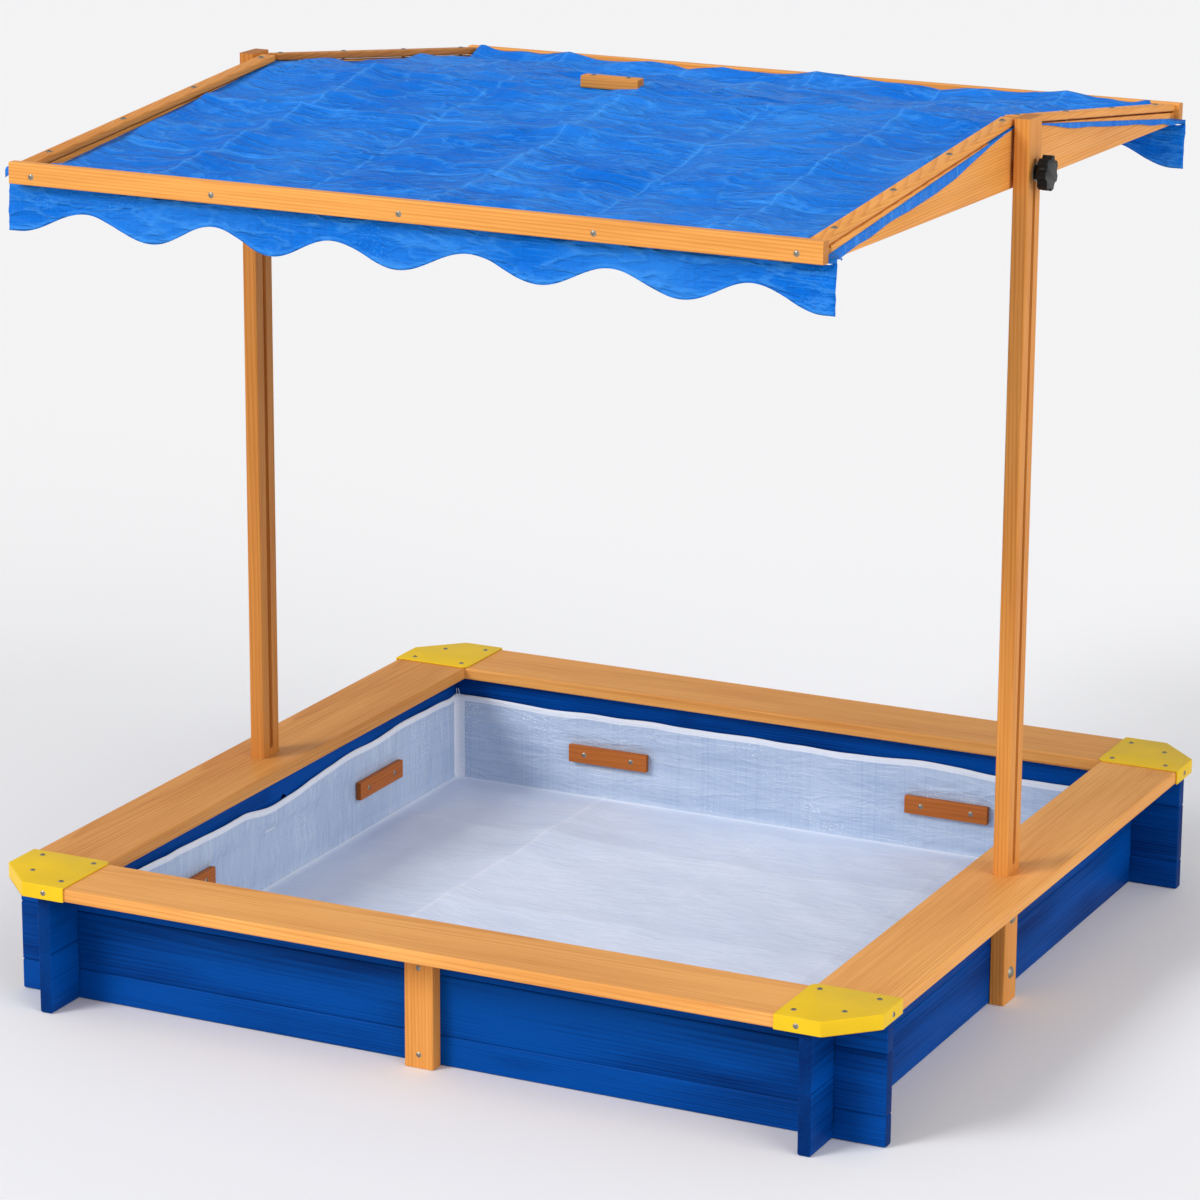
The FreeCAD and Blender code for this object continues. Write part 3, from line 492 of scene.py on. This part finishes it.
# one domed screw along Z, its head's underside at the origin, with a cross recess
def screwTemplate():
    s = screwShape
    bm = bmesh.new()
    steps = s["domeSteps"]
    ball = (s["headRadius"] ** 2 + s["headHeight"] ** 2) / (2 * s["headHeight"])
    profile = [bm.verts.new((0, 0, s["headHeight"]))]
    for i in range(1, steps + 1):
        x = s["headRadius"] * i / steps
        profile.append(bm.verts.new((x, 0, s["headHeight"] - ball + math.sqrt(ball * ball - x * x))))
    profile.append(bm.verts.new((s["shankRadius"], 0, -s["neck"])))
    profile.append(bm.verts.new((s["shankRadius"], 0, -s["shankLength"])))
    profile.append(bm.verts.new((0, 0, -s["shankLength"] - s["tip"])))
    edges = [bm.edges.new(pair) for pair in zip(profile, profile[1:])]
    bmesh.ops.spin(bm, geom=profile + edges, cent=(0, 0, 0), axis=(0, 0, 1), angle=math.tau,
                   steps=s["sides"], use_merge=True)
    bmesh.ops.remove_doubles(bm, verts=bm.verts, dist=1e-6)
    bmesh.ops.recalc_face_normals(bm, faces=bm.faces)
    body = meshObject("screwBlank", bm, plain["zinc_steel"])
    bm = bmesh.new()
    for turn in (0, math.pi / 2):
        arm = bmesh.ops.create_cube(bm, size=1)["verts"]
        bmesh.ops.scale(bm, vec=(s["recessReach"] * 2, s["recessWidth"], 0.004), verts=arm)
        bmesh.ops.translate(bm, vec=(0, 0, s["headHeight"] - s["recessDepth"] + 0.002), verts=arm)
        bmesh.ops.rotate(bm, cent=(0, 0, 0), matrix=Matrix.Rotation(turn, 3, "Z"), verts=arm)
    cutter = meshObject("screwCutter", bm, plain["zinc_steel"])
    recess = body.modifiers.new("recess", "BOOLEAN")
    recess.operation, recess.object, recess.solver, recess.use_self = "DIFFERENCE", cutter, "EXACT", True
    applyModifiers(body)
    bpy.data.objects.remove(cutter)
    return body


# where each screw of a group sits and which way it faces, from its solids
def screwSpots(node):
    bm = bmesh.new()
    bm.from_mesh(frame["nodes"][node].data)
    bmesh.ops.remove_doubles(bm, verts=bm.verts, dist=1e-6)
    left, spots = set(bm.verts), []
    while left:
        island, queue = set(), [left.pop()]
        while queue:
            v = queue.pop()
            island.add(v)
            for link in v.link_edges:
                other = link.other_vert(v)
                if other in left:
                    left.remove(other)
                    queue.append(other)
        points = np.array([v.co[:] for v in island])
        centre = (points.min(0) + points.max(0)) / 2
        axis = np.linalg.svd(points - points.mean(0))[2][0]
        along = (points - centre) @ axis
        away = np.linalg.norm(points - centre - np.outer(along, axis), axis=1)
        if along[away > 0.8 * away.max()].mean() < 0:
            axis, along = -axis, -along
        rim = points[away > 0.97 * away.max()]
        spots.append((Vector(rim.mean(0)), Vector(axis), away.max()))
    bm.free()
    return sorted(spots, key=lambda s: tuple(round(c, 4) for c in s[0]))


# a screw at every place of the node's own screws, each turned its own way
def screwGroup(name, template, node, rng):
    bm = bmesh.new()
    for spot, outward, radius in screwSpots(node):
        before = len(bm.verts)
        bm.from_mesh(template.data)
        bm.verts.ensure_lookup_table()
        turn = outward.to_track_quat("Z", "Y").to_matrix().to_4x4()
        roll = Matrix.Rotation(rng.uniform(0, math.tau), 4, "Z")
        size = Matrix.Scale(radius / screwShape["headRadius"], 4)
        bmesh.ops.transform(bm, matrix=Matrix.Translation(spot) @ turn @ roll @ size, verts=bm.verts[before:])
    piece = meshObject(name, bm, plain["zinc_steel"], smooth=False)
    settle(piece, bodyOf(node), "zinc_steel", node)


template = screwTemplate()
for node in ("cap_screws", "brace_screws", "strip_screws", "fascia_screws", "batten_screws", "block_screws",
             "frame_screws"):
    screwGroup("crossHead_" + node, template, node, random.Random(node))
bpy.data.objects.remove(template)
print("screws done")

# the canopy

canopy = {
    "step": 0.006,
    "thickness": 0.0008,
    "ridgeRound": 0.008,
    "legEnd": 0.0003,  # how far the edge comes out below the fascia battens
    "flap": 0.0115,  # cloth that hangs over the gables
    "flapColumns": 6,
    "cornerFlap": 0.0175,
    "sag": 0.004,
    "creasesAlong": (-0.392, -0.196, 0.178, 0.372),  # parallel to the ridge
    "creasesAcross": (-0.352, -0.171, 0.018, 0.196, 0.372),  # front to back
    "creaseFold": 0.0055,
    "creaseReach": 0.045,  # the cloth comes up over this distance on both sides of a crease
    "creaseSide": 0.0016,  # extra grid lines beside a crease keep it crisp
    "frontRoll": 0.0105,  # slack cloth behind the fascia battens
    "backRoll": 0.0185,
    "puff": 0.0055,  # slack cloth beside the battens over the gables
    "hump": 0.011,  # slack cloth behind the ridge
    "underside": 0.0008,  # the CAD piece's edges lie this far outside the cloth
    "overGable": 0.0006,  # the cloth starts to turn down this far outside the gables
    "postEdge": 0.0012,  # what hangs over the gables beside the posts
    "backCorner": 0.0148,
    "broadFolds": (3.2, 4.6, 0.0060, 1.7),  # folds a metre across and along, height, seed
    "crests": ((3.2, 10, 0.0054, 61.0), (7.5, 19, 0.0026, 63.0)),
    "fineFolds": ((7, 36, 0.0016, 5.3), (20, 27, 0.0012, 7.9)),
    "fans": ((-1, 0.0024), (1, 0.0014)),  # side and height of the wrinkles at the ridge's ends
    "puffedCorner": 0.0135,  # the front left corner stands up
    "bend": 0.0012,  # length of that turn
}


def smooth(low, high, x):
    t = np.clip((x - low) / (high - low), 0, 1)
    return t * t * (3 - 2 * t)


# smooth noise, about -1 to 1, at every point; the scales are per metre
def ripples(a, b, scaleA, scaleB, seed, octaves=2):
    return np.array([noise.fractal(Vector((x * scaleA, y * scaleB, seed)), 0.9, 2.1, octaves)
                     for x, y in zip(a.ravel(), b.ravel())]).reshape(a.shape)


# grid lines from low to high, with closer ones beside every crease
def gridLines(low, high, step, creases, side):
    lines = [x for x in np.linspace(low, high, round((high - low) / step) + 1)
             if all(abs(x - c) > 2.2 * side for c in creases) or x in (low, high)]
    for c in creases:
        lines += [c - side, c, c + side]
    return np.array(sorted(lines))


# a folded sheet's own shape and its pale line, at distance d from the fold
def foldShape(d, reach, width):
    return np.clip(1 - np.abs(d) / reach, 0, 1) ** 1.15, np.exp(-(d / width) ** 2)


# a cloth from a bmesh grid: places and cut are arrays of (rows, columns, n); gives its bmesh and its flat area
def clothGrid(places, cut, crease, skip=None):
    rows, columns = crease.shape
    bm = bmesh.new()
    cutMap, line = bm.loops.layers.uv.new("cut"), bm.verts.layers.float.new("crease")
    bmesh.ops.create_grid(bm, x_segments=columns - 1, y_segments=rows - 1, size=0.5)
    bm.verts.index_update()
    index = [(round((v.co.y + 0.5) * (rows - 1)), round((v.co.x + 0.5) * (columns - 1))) for v in bm.verts]
    for face in bm.faces:
        for loop in face.loops:
            loop[cutMap].uv = cut[index[loop.vert.index]]
    for v, spot in zip(bm.verts, index):
        v.co, v[line] = places[spot], crease[spot]
    if skip is not None:
        bmesh.ops.delete(bm, geom=[v for v, spot in zip(list(bm.verts), index) if skip[spot]], context="VERTS")
    area = 0.0
    for face in bm.faces:
        corners = [loop[cutMap].uv for loop in face.loops]
        area += abs((corners[2] - corners[0]).cross(corners[3] - corners[1])) / 2
    return bm, area


def finishCloth(name, bm, thickness, *materials):
    piece = meshObject(name, bm, materials[0])
    for extra in materials[1:]:
        piece.data.materials.append(extra)
    wall = piece.modifiers.new("thickness", "SOLIDIFY")
    wall.thickness, wall.offset, wall.use_even_offset = thickness, 0, False
    return applyModifiers(piece)


def makeCanopy():
    c = canopy
    low, high = roofBox("roof_cloth")
    ridge, reach, legLow = high.z - c["underside"], high.y - c["underside"], low.z - c["legEnd"]
    half = roofBox("right_gable")[1].x + c["overGable"]
    front = roofBox("right_front_batten")
    battenIn = front[0].x
    drop = (front[1].z - front[0].z) / (front[1].y - front[0].y)
    slopeLength = math.hypot(reach, reach * drop)
    eave = ridge - reach * drop
    leg = eave - legLow
    rows = gridLines(-slopeLength - leg, slopeLength + leg, c["step"], c["creasesAlong"], c["creaseSide"])
    inner = gridLines(-half, half, c["step"], c["creasesAcross"], c["creaseSide"])
    share = np.linspace(0, 1, c["flapColumns"] + 1)[1:]

    # the length of the side flaps: wavy, none at the posts, longer at the corners
    def flapLength(t, side):
        wave = ripples(t, t * 0, 9, 0, 3.1 + side, 2)
        free = smooth(0.040, 0.22, np.abs(t))
        behind = np.where(t > 0, 0.45, 1.0)
        corner = smooth(slopeLength - 0.05, slopeLength, np.abs(t))
        usual = c["flap"] * (1 + 0.35 * wave) * free * behind + c["postEdge"]
        wide = np.where((t < 0) & (side < 0), c["cornerFlap"], c["backCorner"])
        return usual * (1 - corner) + corner * wide

    left, right = (side * (half + flapLength(rows, side)[:, None] * share[None, :]) for side in (-1, 1))
    cutX = np.concatenate([left[:, ::-1], np.broadcast_to(inner, (len(rows), len(inner))), right], axis=1)
    cutY = np.broadcast_to(rows[:, None], cutX.shape)
    beyond = np.clip(np.abs(cutX) - half, 0, None)
    onTop = np.clip(cutX, -half, half)

    # straight profile over the ridge and down behind the fascia battens
    along = np.clip(np.abs(cutY), 0, slopeLength) / slopeLength * reach
    down = np.clip(np.abs(cutY) - slopeLength, 0, None)
    toBatten = battenIn - np.abs(onTop)
    offGable = smooth(0.0005, 0.009, toBatten)
    rounding = c["ridgeRound"] * offGable + 0.0004
    y = np.sign(cutY) * along
    z = ridge - drop * (np.sqrt(along ** 2 + rounding ** 2) - rounding)

    # slack and folds
    lift = np.zeros_like(z)
    crease = np.zeros_like(z)
    for i, place in enumerate(c["creasesAlong"]):
        shape, line = foldShape(cutY - place, c["creaseReach"], c["creaseSide"] * 0.9)
        lift += shape * c["creaseFold"] * (1 if i % 2 else -0.8)
        crease = np.maximum(crease, line * (0.75 + 0.25 * ripples(cutX, cutY, 7, 0, 8.0 + i)))
    for i, place in enumerate(c["creasesAcross"]):
        shape, line = foldShape(cutX - place, c["creaseReach"], c["creaseSide"] * 0.9)
        lift += shape * c["creaseFold"] * (-0.9 if i % 2 else 1)
        crease = np.maximum(crease, line * (0.75 + 0.25 * ripples(cutX, cutY, 0, 7, 18.0 + i)))
    slopeShare = np.clip(np.abs(cutY) / slopeLength, 0, 1)
    away = smooth(0, 0.10, slopeShare) * (1 - smooth(0.93, 1.0, slopeShare))
    lift -= c["sag"] * np.sin(np.pi * slopeShare)
    scaleX, scaleY, height, seed = c["broadFolds"]
    lift += height * ripples(cutX, cutY, scaleX, scaleY, seed, 2) * away
    # it is even beside the battens; elsewhere sharp crests run mostly along the ridge's direction
    calm = smooth(0.004, 0.060, toBatten) * (1 - 0.6 * smooth(0.93, 1.0, slopeShare))
    for scaleX, scaleY, height, seed in c["crests"]:
        crest = 1 - np.clip(np.abs(ripples(cutX, cutY, scaleX, scaleY, seed, 2)) * 2.8, 0, 1)
        lift += height * (crest ** 1.8 - 0.25) * calm
    for scaleX, scaleY, height, seed in c["fineFolds"]:
        lift += height * ripples(cutX, cutY, scaleX, scaleY, seed, 2) * calm
    # wrinkles fan out from the ridge's ends
    for side, height in c["fans"]:
        fanX, fanY = cutX - side * battenIn, cutY + 0.004
        span = np.hypot(fanX, fanY)
        angle = np.arctan2(fanY, -side * fanX)
        spokes = np.sin(angle * 17 + 1.5 * side + 3 * ripples(angle, span, 1.1, 3, 4.4))
        lift += height * spokes * np.exp(-span / 0.11) * smooth(0.006, 0.04, span)
    # the back slope is slack near the ridge
    wander = 0.030 + 0.010 * ripples(cutX, cutY * 0, 5, 0, 2.2)
    hump = np.exp(-((cutY - wander) / 0.016) ** 2) * smooth(-0.44, -0.20, cutX)
    hump *= (1 - smooth(0.02, 0.22, cutX)) * (0.75 + 0.35 * ripples(cutX, cutY, 11, 4, 6.1))
    lift += c["hump"] * hump
    # it puffs up beside the battens
    puffWave = 0.95 + 0.20 * ripples(cutX, cutY, 3, 8, 19.4, 2)
    lift += c["puff"] * puffWave * np.exp(-((toBatten - 0.012) / 0.013) ** 2) * smooth(0.03, 0.10, slopeShare)
    # a slack roll before the cloth dips behind the fascia battens
    toEave = slopeLength - np.abs(cutY)
    atBack = cutY > 0
    rollWave = ripples(cutX, cutY, 13, 9, 9.4, 3)
    rollWave = np.where(atBack, c["backRoll"] * (1 + 0.06 * rollWave), c["frontRoll"] * (0.86 + 0.5 * rollWave))
    rollPlace = 0.022 + 0.006 * ripples(cutX, cutY * 0, 10, 0, 12.4)
    rollWidth = np.where(toEave > rollPlace, 0.026, 0.012)
    roll = np.exp(-(np.clip(toEave - rollPlace, -1, 1) / rollWidth) ** 2)
    lift += rollWave * roll * smooth(0, 0.004, toEave)
    lift = np.where(np.abs(cutY) > slopeLength, 0, lift) * offGable
    # it lies on the ridge beam and on the eave rails
    over = (np.abs(y) < 0.012) | (np.abs(y) > roofBox("back_rail")[0].y - 0.006)
    lift = np.where(over, np.maximum(lift, -0.0002), lift)
    z = z + lift

    # behind the fascia battens it turns down
    y = np.where(down > 0, np.sign(cutY) * reach, y)
    z = np.where(down > 0, eave - down, z)

    # the side flaps turn down over the gables; at the corners they stand out, and the front left one puffs up
    nearCorner = smooth(slopeLength - 0.045, slopeLength - 0.008, np.abs(cutY))
    puffed = (cutY < 0) & (cutX < 0)
    angle = math.pi / 2 * (1 - nearCorner) + 0.12 * nearCorner
    angle = np.where(down > 0, 0.0, angle)
    first = np.clip(beyond, 0, c["bend"])
    x = onTop + np.sign(cutX) * (first * 0.6 + (beyond - first) * np.cos(angle))
    z = z - first * 0.6 * (down <= 0) - (beyond - first) * np.sin(angle)
    bulge = np.sin(np.clip(beyond / c["cornerFlap"], 0, 1) * 2.5) * nearCorner
    fade = np.clip(1 - down / 0.016, 0, 1)
    z += np.where(puffed, c["puffedCorner"] * bulge * fade, 0)
    y -= np.where(puffed, 0.006 * bulge * smooth(0.012, 0.018, np.abs(x) - half + 0.012) * nearCorner, 0)
    hang = ripples(cutX, cutY, 0, 16, 14.2) * 0.0006
    x = x + np.sign(cutX) * np.where((beyond > 0.004) & (nearCorner < 0.2), np.clip(hang, -0.0002, 0.0007), 0)

    places = np.stack([x, y, z], axis=-1)
    turn = np.array(roofTurn)
    places = places @ turn[:3, :3].T + turn[:3, 3]
    bm, area = clothGrid(places, np.stack([cutX, cutY], axis=-1), crease)
    piece = finishCloth("canopy", bm, c["thickness"], plain["blue_cloth"])
    settle(piece, "roof", "blue_cloth", "roof_cloth")
    return slopeLength + leg


clothEnd = makeCanopy()
print("canopy done")

# the valances

valance = {
    "step": 0.005,
    "rows": 14,
    "thickness": 0.0008,
    "lows": (-0.518, -0.335, -0.178, -0.012, 0.170, 0.345, 0.518),  # the hem's lowest points, as they hang
    "waveDepth": 0.027,
    "billow": 0.0075,
    "folds": 0.0018,
    "hem": 0.0035,
    "seam": 0.0014,  # the cloth stands out over its seam under the fascia
    "topGap": 0.0005,
    "endRaise": 0.0015,  # past the fascia batten its top meets the canopy's edge
    "swingRoom": 0.018,
    "keep": {"front": 0.40, "back": 0.005},  # share of its drop that is left when the roof lies on the seats
}


# side is front or back, and sign is the way it faces along Y
def makeValance(side, sign, seed):
    v = valance
    low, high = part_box(side + "_valance")
    drop, depth = high.z - low.z, v["waveDepth"]
    middleY = (low.y + high.y) / 2
    across = np.linspace(low.x, high.x, round((high.x - low.x) / v["step"]) + 1)
    lows = np.array(v["lows"]) * (1 if sign < 0 else -1)
    lows.sort()
    # between two low points the hem goes up and comes down again
    phase = np.interp(across, lows, np.arange(len(lows)), left=0, right=len(lows) - 1)
    hem = drop - depth / 2 + depth / 2 * np.cos(phase * math.tau)
    hem += 0.0012 * ripples(across, across * 0, 6, 0, seed)
    share = np.linspace(0, 1, v["rows"] + 1) ** 0.9
    cutX = np.broadcast_to(across[None, :], (len(share), len(across)))
    cutY = share[:, None] * hem[None, :]
    loose = smooth(0, 0.030, cutY)
    out = v["billow"] * ripples(cutX, cutY, 6.5, 2.5, seed + 1) * loose
    out += v["folds"] * ripples(cutX, cutY, 7, 70, seed + 2, 2) * smooth(0, 0.006, cutY)
    seam = 0.0085 + 0.002 * ripples(cutX, cutX * 0, 8, 0, seed + 4)
    out += v["seam"] * np.exp(-((cutY - seam) / 0.0030) ** 2)
    out += 0.0007 * ripples(cutX, cutY, 40, 40, seed + 3) * loose
    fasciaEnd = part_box(side + "_fascia")[1].x
    crease = 0.5 * np.exp(-((hem[None, :] - cutY - v["hem"]) / 0.0012) ** 2)
    out = np.minimum(out, np.where(cutY < v["swingRoom"], 0.0002 + 0.12 * cutY, 1))
    pastEnd = smooth(fasciaEnd, fasciaEnd + 0.002, np.abs(cutX)) * (1 - smooth(0, 0.004, cutY))
    top = high.z - v["topGap"] + v["endRaise"] * pastEnd
    places = np.stack([cutX, middleY + sign * out, top - cutY], axis=-1)
    bm, area = clothGrid(places, np.stack([cutX, clothEnd + cutY], axis=-1), crease)
    if sign > 0:
        bmesh.ops.reverse_faces(bm, faces=bm.faces)
    piece = finishCloth(side + "Valance", bm, v["thickness"], plain["blue_cloth"])
    settle(piece, side + "_flap", "blue_cloth", side + "_valance")
    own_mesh(piece)


for side, sign, seed in (("front", -1, 21.0), ("back", 1, 31.0)):
    makeValance(side, sign, seed)
print("valances done")

# the liner

liner = {
    "step": 0.0075,
    "rowsUp": 17,
    "thickness": 0.0007,
    "clear": 0.0006,  # from the boards and from the ground
    "hem": 0.009,
    "hemWave": 0.0045,
    "hemDip": 0.013,  # at the posts
    "tape": 0.0135,  # its width in the corners on the front and back walls
    "sideTape": 0.4,  # share of that width on the side walls
    "floorWrinkle": 0.0045,
    "fineWrinkle": 0.0010,
    "wallWrinkle": 0.0050,
    "foldsAlongY": ((-0.262, 0.0060), (0.010, 0.0022), (0.285, 0.0028)),  # place and height
    "foldsAlongX": ((0.298, 0.0034), (0.015, 0.0020), (-0.270, 0.0026)),
    "foldHeight": 0.0060,  # a fold of this height has the clearest line
    "foldLine": 0.6,
    "foldReach": 0.05,
    "foldSide": 0.0016,
}


def makeLiner():
    c = liner
    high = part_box("liner")[1]
    halfX, halfY, tall = high.x - c["clear"], high.y - c["clear"], high.z
    stripLow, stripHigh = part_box("front_strips")
    floorX = gridLines(-halfX, halfX, c["step"], [place for place, _ in c["foldsAlongY"]], c["foldSide"])
    floorY = gridLines(-halfY, halfY, c["step"], [place for place, _ in c["foldsAlongX"]], c["foldSide"])
    # rows up the walls, closer at the hem
    rise = np.concatenate([np.linspace(0, tall - c["hem"], c["rowsUp"])[1:], [tall - c["hem"] / 2, tall]])
    xs = np.concatenate([-halfX - rise[::-1], floorX, halfX + rise])
    ys = np.concatenate([-halfY - rise[::-1], floorY, halfY + rise])
    cutY, cutX = np.meshgrid(ys, xs, indexing="ij")
    upX, upY = np.clip(np.abs(cutX) - halfX, 0, None), np.clip(np.abs(cutY) - halfY, 0, None)
    skip = (upX > 0) & (upY > 0)
    up = np.maximum(upX, upY)
    onX, onY = np.clip(cutX, -halfX, halfX), np.clip(cutY, -halfY, halfY)
    # the floor's soft wrinkles run towards the front right corner
    run, side = (onX - onY) / math.sqrt(2), (onX + onY) / math.sqrt(2)
    inside = smooth(0, 0.06, np.minimum(halfX - np.abs(onX), halfY - np.abs(onY)))
    bend = side + 0.030 * ripples(run, side, 2.2, 2.2, 3.0)
    floor = c["floorWrinkle"] * (0.5 + 0.5 * ripples(run, bend, 2.6, 9.5, 41.0, 3))
    floor += c["fineWrinkle"] * (1 + ripples(onX, onY, 24, 24, 43.0, 3))
    shade = np.zeros_like(floor)
    wander = 0.006 * ripples(onX, onY, 5, 5, 44.0)
    for distance, folds in ((onX + wander, c["foldsAlongY"]), (onY + wander, c["foldsAlongX"])):
        for place, height in folds:
            shape, line = foldShape(distance - place, c["foldReach"], c["foldSide"])
            floor += height * shape
            share = c["foldLine"] * np.clip(height / c["foldHeight"], 0, 1)
            shade = np.maximum(shade, line * share * (up <= 0))
    z = c["clear"] + floor * inside
    # walls: upright streaks at the sides, level creases at the front and the back
    sideWall = upX > 0
    place = np.where(sideWall, onY, onX)
    seed = np.where(sideWall, np.sign(cutX) * 2, np.sign(cutY) * 5)
    streak = ripples(place + seed, up, 15, 2.5, 51.0, 2)
    level = ripples(place + seed, up, 4.5, 34, 52.0, 3)
    push = np.where(sideWall, 0.8 * streak + 0.35 * level, 0.35 * streak + 0.8 * level)
    ends = smooth(0, 0.03, np.where(sideWall, halfY, halfX) - np.abs(place))
    lows = smooth(0, 0.02, up)
    reach = stripHigh.x + 0.012
    held = (1 - smooth(reach, reach + 0.03, np.abs(place))) * smooth(stripLow.z - 0.014, stripLow.z, up)
    held *= 1 - smooth(stripHigh.z, stripHigh.z + 0.014, up)
    push = c["wallWrinkle"] * np.clip(0.45 + 0.9 * push, 0, 1.3) * ends * lows * (1 - held)
    hemPart = up > tall - c["hem"] * 1.01
    push = np.where(hemPart, push * 0.6 + 0.0008 * ends, push)
    # the top edge goes up and down a little
    wave = c["hemWave"] * ripples(place + seed, up * 0, 7.0, 0, 55.0, 2)
    wave -= np.where(sideWall, c["hemDip"] * np.exp(-(place / 0.11) ** 2), 0)
    wave *= smooth(0.070, 0.112, up) * ends
    x = np.where(sideWall, np.sign(cutX) * (halfX - push), onX)
    y = np.where(upY > 0, np.sign(cutY) * (halfY - push), onY)
    z = np.where(up > 0, up + wave, z)
    places = np.stack([x, y, z], axis=-1)
    bm, area = clothGrid(places, np.stack([cutX, cutY], axis=-1), shade, skip)
    # the corners' edges share their points, and the fold along the ground is soft
    bmesh.ops.remove_doubles(bm, verts=bm.verts, dist=0.0004)
    bmesh.ops.recalc_face_normals(bm, faces=bm.faces)
    lowEdge = [v for v in bm.verts if v.co.z < 0.012 and (abs(v.co.x) > halfX - 0.02 or abs(v.co.y) > halfY - 0.02)]
    for _ in range(3):
        bmesh.ops.smooth_vert(bm, verts=lowEdge, factor=0.5, use_axis_x=True, use_axis_y=True, use_axis_z=True)
    for v in lowEdge:
        v.co.z = max(v.co.z, 0.0004)
    cutMap = bm.loops.layers.uv["cut"]
    for face in bm.faces:
        spot = face.calc_center_median()
        wall = abs(face.normal.z) < 0.5
        toCorner = max(halfX - abs(spot.x), halfY - abs(spot.y))
        cutSpot = [max(abs(loop[cutMap].uv.x) - halfX, abs(loop[cutMap].uv.y) - halfY) for loop in face.loops]
        if wall:
            tape = c["tape"] * (c["sideTape"] if abs(face.normal.x) > 0.7 else 1)
            isTape = min(cutSpot) > tall - c["hem"] * 1.02 or toCorner < tape
            face.material_index = 2 if isTape else 1
    piece = finishCloth("linerSheet", bm, c["thickness"], plain["liner_cloth"], wallMaterial, tapeMaterial)
    settle(piece, "sandbox", "liner_cloth", "liner")


makeLiner()

threads = {"radius": 0.0004, "length": 0.018, "each": 2, "belowHem": 0.008}


# thread ends that stand out over the hem in each corner
def makeThreads():
    rng = random.Random(77)
    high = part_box("liner")[1]
    curve = bpy.data.curves.new("threads", "CURVE")
    curve.dimensions, curve.bevel_depth, curve.bevel_resolution = "3D", threads["radius"], 1
    for cornerX in (-1, 1):
        for cornerY in (-1, 1):
            for i in range(threads["each"]):
                spot = Vector((cornerX * (high.x - 0.004 - 0.004 * i), cornerY * (high.y - 0.003),
                               high.z - threads["belowHem"]))
                line = curve.splines.new("NURBS")
                line.points.add(3)
                lean = Vector((-cornerX * rng.uniform(0.1, 0.7), -cornerY * rng.uniform(0.0, 0.5), 0))
                for k, point in enumerate(line.points):
                    rise = threads["length"] * (k + 0.3) / 3
                    away = lean * rise * (k / 3) + Vector((rng.uniform(-1, 1), rng.uniform(-0.3, 0.3), 0)) * 0.001
                    point.co = (*(spot + away + Vector((0, 0, rise))), 1)
                line.order_u, line.use_endpoint_u = 4, True
    piece = bpy.data.objects.new("linerThreads", curve)
    bpy.context.scene.collection.objects.link(piece)
    curve.materials.append(tapeMaterial)
    bpy.context.view_layer.update()
    mesh = bpy.data.meshes.new_from_object(piece.evaluated_get(bpy.context.evaluated_depsgraph_get()))
    bpy.data.objects.remove(piece)
    mesh.uv_layers.new(name="cut")
    piece = bpy.data.objects.new("linerThreads", mesh)
    bpy.context.scene.collection.objects.link(piece)
    settle(piece, "sandbox", "liner_cloth")


makeThreads()
print("liner done")

# floor, light and camera

studio = {
    "floor": (0.90, 0.90, 0.91),
    "floorSize": 40,
    "floorDepth": 0.0005,  # it lies just below the object
    "sky": 0.52,
    # name: strength, softness in degrees, and the way the light comes from
    "keyLight": (1.85, 24, (-0.60, -0.80, 0.68)),
    "fillLight": (1.25, 50, (0.92, -0.30, 0.50)),
}
bm = bmesh.new()
bmesh.ops.create_grid(bm, x_segments=1, y_segments=1, size=studio["floorSize"])
floorMaterial, tree, surface = startMaterial("studioFloor", Roughness=0.7, Base_Color=(*studio["floor"], 1))
floor = meshObject("studioFloor", bm, floorMaterial, smooth=False)
floor.location.z = -studio["floorDepth"]

for name in ("keyLight", "fillLight"):
    strength, softness, source = studio[name]
    data = bpy.data.lights.new(name, "SUN")
    data.energy, data.angle = strength, math.radians(softness)
    lamp = bpy.data.objects.new(name, data)
    bpy.context.scene.collection.objects.link(lamp)
    lamp.rotation_euler = Vector(source).to_track_quat("Z", "Y").to_euler()

world = bpy.data.worlds.new("studio")
world.use_nodes = True
sky = world.node_tree.nodes["Background"]
sky.inputs["Color"].default_value = (1, 1, 1, 1)
sky.inputs["Strength"].default_value = studio["sky"]
bpy.context.scene.world = world

# angles in degrees, lens and sensor in millimetres
viewpoint = {"place": (2.4605, -5.1185, 2.0516), "pitch": 15.723, "yaw": 25.969, "roll": 0.278, "lens": 138.7,
             "sensor": 36}
camData = bpy.data.cameras.new("camera")
camData.lens, camData.sensor_width = viewpoint["lens"], viewpoint["sensor"]
camera = bpy.data.objects.new("camera", camData)
bpy.context.scene.collection.objects.link(camera)
pitch, yaw, roll = (math.radians(viewpoint[k]) for k in ("pitch", "yaw", "roll"))
camera.matrix_world = Matrix.Translation(viewpoint["place"]) @ Matrix.Rotation(yaw, 4, "Z") @ \
    Matrix.Rotation(math.pi / 2 - pitch, 4, "X") @ Matrix.Rotation(roll, 4, "Z")
bpy.context.scene.camera = camera
bpy.context.scene.view_settings.view_transform = "Standard"

print("scene done")
